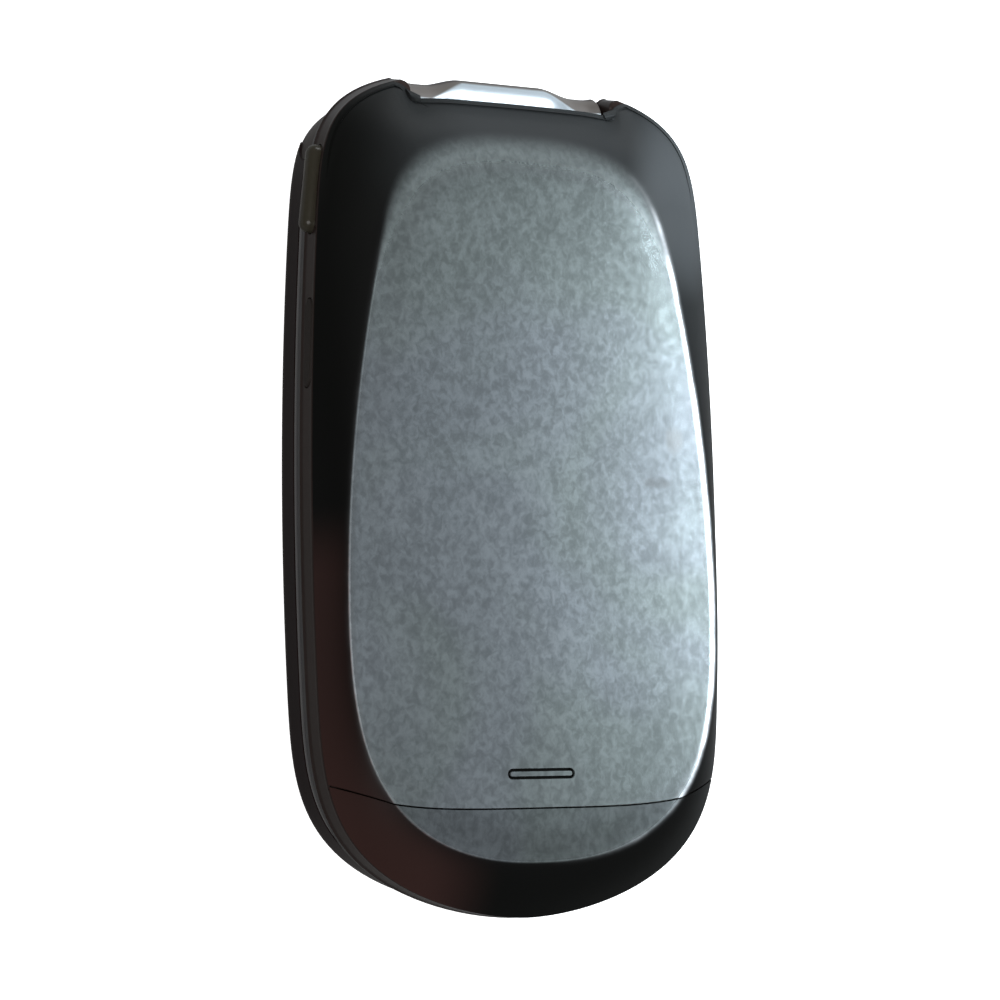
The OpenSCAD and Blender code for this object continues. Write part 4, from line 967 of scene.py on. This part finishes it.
def buildLidShell():
    own, wall, rim = lidShape["inset"], lid["wall"], lidHigh.z
    rings = []
    for a in range(0, 91, 10):
        turn = math.radians(a)
        rings.append((lidLow.z + lid["roundHigh"] * (1 - math.cos(turn)),
                      own + lid["roundWide"] * (1 - math.sin(turn)), 0))
    levels = shoulderLevels()
    rings += [(z, own, 0) for z in levels]
    rings += [(rim - lid["rimEdge"], own, 0), (rim, own + lid["rimEdge"], 0), (rim, own + wall, wall)]
    rings += [(z, own + wall, wall) for z in reversed(levels)]
    floor = lidLow.z + wall
    rings.append((floor, own + lid["roundWide"] + lid["innerEdge"], wall))
    maker = Builder()
    maker.wall([atHeight(lidLoop(z, inset, inner), z) for z, inset, inner in rings])
    window = plateLoop("outer_window", lid["windowGap"], lid["outerCorner"])
    display = plateLoop("outer_display", -lid["holeIn"], 1.0)
    lens = circleAt(0, middleOf("camera_lens")[0], boxOf("camera_lens")[1].x + 0.4)
    edge, depth = lid["windowEdge"], boxOf("outer_window")[1].z + 0.05
    maker.flat([lidLoop(lidLow.z, own + lid["roundWide"]), window(edge)], lidLow.z, True)
    maker.well(window, lidLow.z, depth, edge)
    maker.flat([window(), display(), lens()], depth, True)
    for hole in (display, lens):
        maker.wall([atHeight(hole(), depth), atHeight(hole(), floor)])
    maker.flat([lidLoop(floor, own + lid["roundWide"] + lid["innerEdge"], wall), display(), lens()], floor)
    maker.finish("glossLidShell", "lid", ["lid_front_cover"], "gloss_black", "lidGlossPlastic", 32)


def edgedPlate(name, loop, z0, z1, edge, holes, body, replaced, slot, material):
    # a flat plate with small chamfers all round and through holes
    maker = Builder()
    maker.wall([atHeight(loop(-edge), z0), atHeight(loop(), z0 + edge), atHeight(loop(), z1 - edge),
                atHeight(loop(-edge), z1)])
    for z in (z0, z1):
        maker.flat([loop(-edge)] + [hole() for hole in holes], z, z == z0)
    for hole in holes:
        maker.wall([atHeight(hole(), z0), atHeight(hole(), z1)])
    return maker.finish(name, body, replaced, slot, material, 30)


def buildWindows():
    lensY, lensR = middleOf("camera_lens")[0], boxOf("camera_lens")[1].x
    low, high = boxOf("outer_window")
    edgedPlate("outerWindowGlass", plateLoop("outer_window", 0, lid["outerCorner"]), low.z, high.z, 0.12,
               [circleAt(0, lensY, lensR + 0.1)], "lid", ["outer_window"], "window", "windowGlass")
    edgedPlate("outerWindowPrint", plateLoop("outer_window", -0.2, lid["outerCorner"] - 0.2), high.z + 0.005,
               high.z + 0.04, 0.01, [circleAt(0, lensY, lensR + 0.15),
                                     plateLoop("outer_display", -lid["holeIn"] - 0.3, 1.0)],
               "lid", [], "window", "windowPrint")
    low, high = boxOf("main_window")
    edgedPlate("mainWindowGlass", plateLoop("main_window", 0, lid["mainCorner"]), low.z, high.z, 0.12, [],
               "lid", ["main_window"], "window", "windowGlass")
    edgedPlate("mainWindowPrint", plateLoop("main_window", -0.2, lid["mainCorner"] - 0.2), low.z - 0.04,
               low.z - 0.005, 0.01, [plateLoop("main_window", -lid["bezel"] - 0.3, 1.0)], "lid", [],
               "window", "windowPrint")


def buildInnerFrame():
    own, top, low = lidShape["inset"], frameHigh.z, frameLow.z
    rings = [(low, own + 0.15), (low + 0.1, own + 0.03), (low + 0.25, own), (top - 0.4, own),
             (top - 0.26, own + 0.02), (top - 0.12, own + 0.11), (top - 0.03, own + 0.26), (top, own + 0.4)]
    maker = Builder()
    maker.wall([atHeight(lidLoop(z, inset), z) for z, inset in rings])
    windowLow = boxOf("main_window")[0].z
    window = plateLoop("main_window", lid["windowGap"], lid["mainCorner"])
    opening = plateLoop("main_window", -lid["bezel"], 1.0)
    grille = plateLoop("earpiece_grille", lid["windowGap"], 1.0)
    slot = plateLoop("earpiece_grille", -0.5, 0.4)
    padLow = boxOf("lid_bumpers")[0]
    screwLow, screwHigh = boxOf("lid_screws")
    padR, headR = lid["padR"], lid["headR"]
    pads = []
    for x, y in ((screwHigh.x - headR, screwHigh.y - headR),
                 (screwHigh.x - headR - lid["padStep"], screwLow.y + headR)):
        pads += [circleAt(x, y, padR + 0.05), circleAt(-x, y, padR + 0.05)]
    seat = padLow.z - lid["screwHead"]
    edge = 0.06
    maker.flat([lidLoop(top, own + 0.4), window(edge), grille(edge)] + [pad(edge) for pad in pads], top)
    maker.well(window, top, windowLow - 0.05, edge, -1)
    maker.flat([window(), opening()], windowLow - 0.05)
    maker.wall([atHeight(opening(), windowLow - 0.05), atHeight(opening(), low)])
    grilleFloor = boxOf("earpiece_grille")[0].z - 0.1
    maker.well(grille, top, grilleFloor, edge, -1)
    maker.flat([grille(), slot()], grilleFloor)
    maker.wall([atHeight(slot(), grilleFloor), atHeight(slot(), low)])
    bores = []
    for pad in pads:
        maker.well(pad, top, seat, edge, -1)
        bores.append(pad(lid["screwBore"] - padR - 0.05))
        maker.flat([pad(), bores[-1]], seat)
        maker.wall([atHeight(bores[-1], seat), atHeight(bores[-1], low)])
    maker.flat([lidLoop(low, own + 0.15), opening(), slot()] + bores, low, True)
    maker.finish("glossInnerFrame", "lid", ["lid_inner_frame"], "satin_black", "innerFramePlastic", 32)


buildLidShell()
buildWindows()
buildInnerFrame()
print("lid ready")

barrel = {"flat": 5.0, "slope": 4.5, "neck": 3.7, "swell": 1.6, "swellHigh": 0.25, "bore": 2.9,
          "edge": 0.15, "stations": 110, "around": 112}


def barrelRadius(x):
    reach = abs(x)
    t = min(1, max(0, (reach - barrel["flat"]) / barrel["slope"]))
    end = max(0, (reach - barrelHigh.x + barrel["swell"]) / barrel["swell"])
    return (barrelR - (barrelR - barrel["neck"]) * t * t * (3 - 2 * t) + barrel["swellHigh"] * end * end)


# colours of the painted reflection and the painted shade on the barrel, and the angles that bound them
barrelPaintedLight = {"bright": (0.62, 0.71, 0.78), "paintedShade": (0.11, 0.1, 0.093), "rim": (0.03, 0.022, 0.02),
           "flatHalf": 5.2, "slopeHalf": 9.3, "reflectionMiddle": 52, "reflectionNeck": 20, "deepShadeFrom": 55,
           "roughness": 0.34}


def makeBarrelPaint(name):
    # painted reflection: bright blue-grey on the top of the wide middle; painted shade: brown on the necks
    # and on the outer side, darkest far round it
    material, nodes, shader, place = startMaterial(name)
    x, y, z = nodes.axes(place)
    above = nodes.math("SUBTRACT", z, hinge.z * mm)
    turn = nodes.math("ARCTAN2", nodes.math("SUBTRACT", y, hinge.y * mm), above)
    degrees = nodes.times(turn, 180 / math.pi)
    limit = nodes.ramp(nodes.math("ABSOLUTE", x), barrelPaintedLight["flatHalf"] * mm, barrelPaintedLight["slopeHalf"] * mm,
                       barrelPaintedLight["reflectionMiddle"], barrelPaintedLight["reflectionNeck"], "LINEAR")
    # painted reflection above the axis, narrower on the necks, and painted shade round the outer side
    bright = nodes.ramp(nodes.math("SUBTRACT", degrees, limit), -5, 4, 1, 0)
    grain = nodes.group(grainGroup, place, Size=0.8, Contrast=0.8)
    marks = nodes.group(dustGroup, place, Amount=0.12)["Mask"]
    deepShadeShare = nodes.ramp(degrees, barrelPaintedLight["deepShadeFrom"], barrelPaintedLight["deepShadeFrom"] + 10)
    colour = nodes.mix(bright, nodes.mix(deepShadeShare, barrelPaintedLight["paintedShade"], barrelPaintedLight["rim"]), barrelPaintedLight["bright"])
    colour = nodes.mix(nodes.times(grain["Mask"], 0.12), colour, grey(0.5), "OVERLAY")
    nodes.feedAll(shader, {
        "Base Color": nodes.mix(marks, colour, grey(0.3)), "Metallic": nodes.times(bright, 0.9),
        "Roughness": nodes.plus(nodes.times(marks, 0.2), barrelPaintedLight["roughness"]), "Specular IOR Level": 0.1})
    nodes.bump(shader, grain["Height"], 0.04, 0.02)
    return material


materials["barrelPaintedReflection"] = makeBarrelPaint("barrelPaintedReflection")


def aboutHinge(x, radius, count):
    return [(x, hinge.y + radius * math.cos(2 * math.pi * i / count),
             hinge.z + radius * math.sin(2 * math.pi * i / count)) for i in range(count)]


def buildBarrel():
    half, edge, count = barrelHigh.x, barrel["edge"], barrel["around"]
    stations = [(half - edge) * (2 * i / barrel["stations"] - 1) for i in range(barrel["stations"] + 1)]
    rings = [aboutHinge(-half, barrelRadius(half) - edge, count)]
    rings += [aboutHinge(x, barrelRadius(x), count) for x in stations]
    rings += [aboutHinge(half, barrelRadius(half) - edge, count), aboutHinge(half, barrel["bore"], count),
              aboutHinge(-half, barrel["bore"], count)]
    maker = Builder()
    maker.wall(rings, True)
    maker.finish("barrelWithPaintedReflection", "lid", ["hinge_barrel"], "gloss_black", "barrelPaintedReflection", 35)


buildBarrel()

pad = {"inset": 0.15, "rim": 1.55, "edge": 0.12, "plate": 0.9, "bossR": 1.8, "bossStep": 2.2, "headR": 1.3,
       "boreR": 0.75, "earStep": 0.1, "earR": 5.92, "earInset": 0.5, "earSoft": 0.25, "earSlices": 40,
       "earAround": 44}
keySize = {"lip": 0.35, "gap": 0.15, "corner": 1.6, "softCorner": 2.0, "ringGap": 0.35, "flange": 0.2,
           "crown": ((0.0, 1.5), (0.02, 1.0), (0.07, 0.55), (0.15, 0.24), (0.26, 0.06), (0.4, 0.0))}
numberKeys = [f"key_{i}" for i in range(1, 10)] + ["key_star", "key_0", "key_hash"]
softKeys = ["left_soft_key", "right_soft_key", "send_key", "end_key", "clear_key"]
flangeOver = keySize["lip"] + keySize["gap"]


def keyLoop(node, grow=0.0):
    corner = keySize["corner"] if node in numberKeys else keySize["softCorner"]
    return plateLoop(node, grow - flangeOver, corner, 8)


def buildKeypadFace():
    z0, plateTop, z1 = splitZ, splitZ + pad["plate"], bandLow - 0.05
    inset, rim, edge = pad["inset"], pad["rim"], pad["edge"]
    rings = [(z0, inset + edge, 0), (z0 + 0.3 * edge, inset + 0.3 * edge, 0), (z0 + edge, inset, 0),
             (z1 - 0.05, inset, 0), (z1, inset + 0.05, 0), (z1, inset + rim, rim),
             (plateTop, inset + rim, rim)]
    maker = Builder()
    maker.wall([atHeight(baseLoop(hinge.z, e, inner), z) for z, e, inner in rings])
    ringY, ringR = middleOf("nav_ring")[0], boxOf("nav_ring")[1].x - flangeOver
    holes = [keyLoop(key, keySize["gap"]) for key in numberKeys + softKeys]
    holes.append(circleAt(0, ringY, ringR + keySize["gap"], 96))
    maker.flat([baseLoop(hinge.z, inset + edge)] + [hole(edge) for hole in holes], z0, True)
    for hole in holes:
        maker.well(hole, z0, plateTop, edge)
    maker.flat([baseLoop(hinge.z, inset + rim, rim)] + [hole() for hole in holes], plateTop)
    maker.finish("satinKeypadFace", "base", ["keypad_cover"], "satin_black", "keypadFacePlastic", 32)
    screwLow, screwHigh = boxOf("base_screws")
    wide, top = screwHigh.x - pad["headR"], coverHigh.z
    for i, (hand, step) in enumerate(((1, 0), (-1, 0), (1, pad["bossStep"]), (-1, pad["bossStep"]))):
        y = screwLow.y + pad["headR"] if step else screwHigh.y - pad["headR"]
        boss = circleAt(hand * (wide - step), y, pad["bossR"], 32)
        bore = circleAt(hand * (wide - step), y, pad["boreR"], 32)
        maker = Builder()
        maker.wall([atHeight(boss(), plateTop - 0.1), atHeight(boss(), top - 0.1), atHeight(boss(-0.1), top),
                    atHeight(bore(), top), atHeight(bore(), plateTop + 0.6)])
        maker.flat([boss()], plateTop - 0.1, True)
        maker.flat([bore()], plateTop + 0.6)
        maker.finish(f"screwBoss{i + 1}", "base", [], "satin_black", "keypadFacePlastic", 40)


def upperReach(x, inset, low, high):
    # where the upper cap of the outline is as wide as x, found by halving
    a, b = yMid, high
    for _ in range(40):
        middle = (a + b) / 2
        if outWidth(middle, inset, low, high) > x:
            a = middle
        else:
            b = middle
    return a


def softMin(a, b, soft):
    return (a + b - math.sqrt((a - b) ** 2 + soft * soft)) / 2


def buildEars():
    # each ear's lower half: a rounded drum about the hinge axis, trimmed to the phone's outline
    inset, radius, soft = pad["earInset"], pad["earR"], pad["earSoft"]
    high = earHigh(hinge.z) - inset
    x0 = notchHalf + pad["earStep"]
    x1 = outWidth(hinge.y - radius + 0.6, inset, yEnd + inset, high)
    for hand in (-1, 1):
        rings = []
        for j in range(pad["earSlices"] + 1):
            share = j / pad["earSlices"]
            x = x0 + (x1 - x0) * (1 - (1 - share) ** 1.6)
            reach = upperReach(x, inset, yEnd + inset, high) - hinge.y
            small = 0.25 * max(0, 1 - share * pad["earSlices"] / 2) ** 2
            ring = []
            for i in range(pad["earAround"] + 1):
                turn = math.radians(175 + 190 * i / pad["earAround"])
                y = softMin((radius - small) * math.cos(turn), reach, soft)
                ring.append((hand * x, hinge.y + y, hinge.z + (radius - small) * math.sin(turn)))
            rings.append(ring)
        maker = Builder()
        maker.capped(rings)
        maker.finish("earRight" if hand > 0 else "earLeft", "base", [], "satin_black", "sideBandPlastic", 40)


buildKeypadFace()
buildEars()
print("keypad cover ready")


def buildKey(node):
    low, high = boxOf(node)
    loop = keyLoop(node)
    crown = keySize["crown"]
    flangeZ = high.z - keySize["flange"]
    maker = Builder()
    rings = [atHeight(loop(-inset), low.z + up) for up, inset in crown]
    rings += [atHeight(loop(), flangeZ), atHeight(loop(flangeOver), flangeZ),
              atHeight(loop(flangeOver), high.z)]
    maker.wall(rings)
    maker.flat([loop(-crown[0][1])], low.z, True)
    maker.flat([loop(flangeOver)], high.z)
    maker.finish(node.replace("_", "") + "Cap", node + "_body", [node], "key_plastic", "keyCapPaint", 50)


def buildRing():
    low, high = boxOf("nav_ring")
    y, outer = middleOf("nav_ring")[0], high.x - flangeOver
    inner = boxOf("ok_key")[1].x + keySize["ringGap"]
    flangeZ = high.z - keySize["flange"]
    profile = [(inner, high.z), (inner, low.z + 0.3), (inner + 0.08, low.z + 0.12),
               (inner + 0.3, low.z + 0.02), (inner + 0.7, low.z), (outer - 1.1, low.z),
               (outer - 0.6, low.z + 0.03), (outer - 0.25, low.z + 0.1), (outer - 0.06, low.z + 0.22),
               (outer, low.z + 0.4),
               (outer, flangeZ), (outer + flangeOver, flangeZ), (outer + flangeOver, high.z)]
    maker = Builder()
    maker.wall([atHeight(circleLoop(0, y, r, 112), z) for r, z in profile], True)
    maker.finish("brushedNavRing", "nav_ring_body", ["nav_ring"], "grille_metal", "ringMetal", 40)
    low, high = boxOf("ok_key")
    profile = [(high.x - 1.5, low.z), (high.x - 0.9, low.z + 0.02), (high.x - 0.4, low.z + 0.08),
               (high.x - 0.12, low.z + 0.2), (high.x, low.z + 0.4), (high.x, high.z)]
    maker = Builder()
    maker.wall([atHeight(circleLoop(0, y, r, 72), z) for r, z in profile])
    maker.flat([circleLoop(0, y, profile[0][0], 72)], low.z, True)
    maker.flat([circleLoop(0, y, high.x, 72)], high.z)
    maker.finish("middleKeyCap", "ok_key_body", ["ok_key"], "key_plastic", "keyCapPaint", 50)


ink = {"lift": 0.006, "thick": 0.008, "digit": 3.3, "letters": 1.9, "digitX": 2.4, "lettersX": -2.6,
       "icon": 2.4}


def layInk(name, mesh, node, material):
    dressPiece(addObject(name, mesh), node + "_body", [], material, 0)


def inkText(name, text, node, size, dx=0.0, dy=0.0):
    # ink lies on the face of a key, which looks down in the closed phone
    low, high = boxOf(node)
    curve = bpy.data.curves.new(name + "Curve", "FONT")
    curve.body = text
    curve.size = size * mm
    curve.align_x = curve.align_y = "CENTER"
    curve.extrude = ink["thick"] * mm
    holder = addObject(name + "Curve", curve)
    bpy.context.view_layer.update()
    mesh = bpy.data.meshes.new_from_object(holder.evaluated_get(bpy.context.evaluated_depsgraph_get()))
    bpy.data.objects.remove(holder)
    middle = (low + high) / 2
    place = Matrix.Translation(Vector((middle.x + dx, middle.y + dy, low.z - ink["lift"])) * mm)
    mesh.transform(place @ Matrix.Rotation(math.pi, 4, "Y"))
    mesh.name = name
    layInk(name, mesh, node, "keyInk")


def inkShape(name, outline2d, node, dx=0.0, dy=0.0, material="keyInk"):
    low, high = boxOf(node)
    middle = (low + high) / 2
    maker = Builder()
    loop = [(middle.x + dx - x, middle.y + dy + y) for x, y in outline2d]
    z = low.z - ink["lift"]
    maker.wall([atHeight(loop, z - ink["thick"]), atHeight(loop, z + ink["thick"])])
    maker.flat([loop], z - ink["thick"], True)
    maker.flat([loop], z + ink["thick"])
    layInk(name, maker.mesh(name, 0.00005 * mm), node, material)


def handset(size, tilt):
    # an arched handset with two wider ends
    points = []
    for i in range(13):
        a = math.radians(150 - 10 * i)
        points.append((size * math.cos(a), size * (math.sin(a) - 0.45)))
    points += [(size * 0.98, size * -0.32), (size * 0.5, size * -0.32), (size * 0.46, size * 0.02)]
    for i in range(9):
        a = math.radians(55 + 70 * i / 8)
        points.append((size * 0.66 * math.cos(a), size * (0.66 * math.sin(a) - 0.5)))
    points += [(-size * 0.46, size * 0.02), (-size * 0.5, size * -0.32), (-size * 0.98, size * -0.32)]
    c, s = math.cos(math.radians(tilt)), math.sin(math.radians(tilt))
    return [(x * c - y * s, x * s + y * c) for x, y in points]


def buildInk():
    letters = ("", "abc", "def", "ghi", "jkl", "mno", "pqrs", "tuv", "wxyz", "", "+", "")
    digits = ("1", "2", "3", "4", "5", "6", "7", "8", "9", "*", "0", "#")
    for node, digit, group in zip(numberKeys, digits, letters):
        short = node.replace("_", "")
        inkText(short + "Digit", digit, node, ink["digit"], ink["digitX"] if group else 0)
        if group:
            inkText(short + "Letters", group, node, ink["letters"], ink["lettersX"], -0.2)
    inkShape("sendMark", handset(ink["icon"], 35), "send_key", material="sendKeyInk")
    inkShape("endMark", handset(ink["icon"], 0), "end_key", dy=0.2, material="endKeyInk")
    for node in ("left_soft_key", "right_soft_key"):
        inkShape(node.replace("_", "") + "Mark", roundedLoop(0, 0, 3.0, 0.5, 0.24, 6), node)
    inkText("clearMark", "C", "clear_key", 3.0)
    reach = (boxOf("nav_ring")[1].x - flangeOver + boxOf("ok_key")[1].x) / 2 + 0.2
    for i, (dx, dy) in enumerate(((0, 1), (-1, 0), (0, -1), (1, 0))):
        arrow = [(-0.9, -0.4), (0.9, -0.4), (0, 0.6)]
        turn = math.atan2(-dx, dy)
        c, s = math.cos(turn), math.sin(turn)
        inkShape(f"arrowMark{i + 1}", [(-(x * c - y * s), x * s + y * c) for x, y in arrow], "nav_ring",
                 dx * reach, dy * reach)


for keyNode in numberKeys + softKeys:
    buildKey(keyNode)
buildRing()
buildInk()
print("keys ready")

# finishes of the pieces that keep their construction shape
cadFinishes = {
    "lensGlass": ["camera_lens"], "displayPanel": ["outer_display", "main_display"],
    "innerFramePlastic": ["camera_module", "battery_contacts"], "ringMetal": ["earpiece_grille"],
    "platedCan": ["earpiece_speaker", "vibration_motor", "shield_cans", "microphone", "charging_socket",
                  "rocker_switch"],
    "boardMask": ["lid_board", "main_board"], "padRubber": ["lid_bumpers"], "batteryWrap": ["battery"],
    "platedSteel": ["lid_screws", "hinge_cartridge", "hinge_shaft", "base_screws"],
    "copperFilm": ["display_flex", "antenna"], "domeFilm": ["dome_sheet"],
}
for finishName, nodes in cadFinishes.items():
    for node in nodes:
        mesh = frame["nodes"][node].data
        for index in range(len(mesh.materials)):
            mesh.materials[index] = materials[finishName]
        if not len(mesh.materials):
            mesh.materials.append(materials[finishName])

view = {"yaw": 24.17, "pitch": -6.261, "roll": 1.17, "shiftX": 0.505, "shiftY": 1.458,
        "distance": 303.2, "focal": 2633.8, "framePixels": 1000, "centreZ": 8.75, "originY": 0.7,
        "sensor": 36.0}


def addCamera():
    yaw, pitch, roll = (math.radians(view[k]) for k in ("yaw", "pitch", "roll"))
    turn = (Matrix.Rotation(roll, 3, "Z") @ Matrix.Rotation(pitch, 3, "X") @ Matrix.Rotation(yaw, 3, "Y"))
    back3 = turn.transposed()
    eye = Vector((-view["shiftX"], -view["shiftY"], view["distance"]))
    place = back3 @ eye + Vector((0, view["originY"], view["centreZ"]))
    data = bpy.data.cameras.new("studioCamera")
    data.sensor_width = view["sensor"]
    data.lens = view["focal"] / view["framePixels"] * view["sensor"]
    data.clip_start = 0.01
    camera = addObject("studioCamera", data)
    camera.matrix_world = Matrix.Translation(place * mm) @ back3.to_4x4()
    scene.camera = camera


lamps = {
    "overheadSoft": {"place": (-0.26, -0.12, 0.55), "aim": (0, 0, 0.01), "size": (0.35, 0.35), "power": 2.6,
                     "colour": (1, 0.99, 0.97)},
    "hingeWindow": {"place": (0.12, 0.42, 0.22), "aim": (0, 0.045, 0.01), "size": (0.34, 0.2), "power": 1.3,
                    "colour": (0.95, 0.98, 1)},
    "sideWindow": {"place": (0.249, 0.045, 0.251), "aim": (0.02, 0.004, 0.0166), "size": (0.12, 0.03),
                   "power": 1.5, "colour": (0.86, 0.94, 1)},
}


def addLamps():
    for name, lamp in lamps.items():
        data = bpy.data.lights.new(name, "AREA")
        data.shape = "RECTANGLE"
        data.size, data.size_y = lamp["size"]
        data.energy = lamp["power"]
        data.color = lamp["colour"]
        light = addObject(name, data)
        light.location = lamp["place"]
        aim = Vector(lamp["aim"]) - light.location
        light.rotation_euler = aim.to_track_quat("-Z", "Y").to_euler()


studio = {"half": 3.0, "paleLow": 0.8, "paleHigh": 0.86, "unseen": 0.3, "roughness": 0.9, "glow": 0.85,
          "surround": 0.16}


def addFloor():
    half = studio["half"]
    mesh = bpy.data.meshes.new("studioFloor")
    corners = [(-half, -half, 0), (half, -half, 0), (half, half, 0), (-half, half, 0)]
    mesh.from_pydata(corners, [], [(0, 1, 2, 3)])
    material, nodes, shader, place = startMaterial("paleFloor")
    camera = nodes.add("LightPath").outputs["Is Camera Ray"]
    pale = nodes.mix(nodes.noise(place, 12, 3), grey(studio["paleLow"]), grey(studio["paleHigh"]))
    nodes.feedAll(shader, {"Base Color": nodes.mix(camera, grey(studio["unseen"]), pale),
                           "Roughness": studio["roughness"], "Specular IOR Level": 0.1})
    # seen by the camera, the floor is paper white but keeps the phone's shadow
    glow = nodes.add("Emission")
    nodes.feedAll(glow, {"Color": grey(1), "Strength": nodes.times(camera, studio["glow"])})
    adder = nodes.add("AddShader")
    nodes.feed(adder.inputs[0], shader.outputs[0])
    nodes.feed(adder.inputs[1], glow.outputs[0])
    nodes.feed(nodes.tree.nodes["Material Output"].inputs["Surface"], adder.outputs[0])
    mesh.materials.append(material)
    floor = addObject("studioFloor", mesh)


def addWorld():
    scene.world = bpy.data.worlds.new("studioWorld")
    scene.world.use_nodes = True
    nodes = Shading(scene.world.node_tree)
    camera = nodes.add("LightPath").outputs["Is Camera Ray"]
    strength = nodes.ramp(camera, 0, 1, studio["surround"], 1.0, "LINEAR")
    nodes.feedAll(nodes.tree.nodes["Background"], {"Color": grey(1), "Strength": strength})


addCamera()
addLamps()
addFloor()
addWorld()
scene.view_settings.view_transform = "Standard"
print("camera, lamps and floor ready")
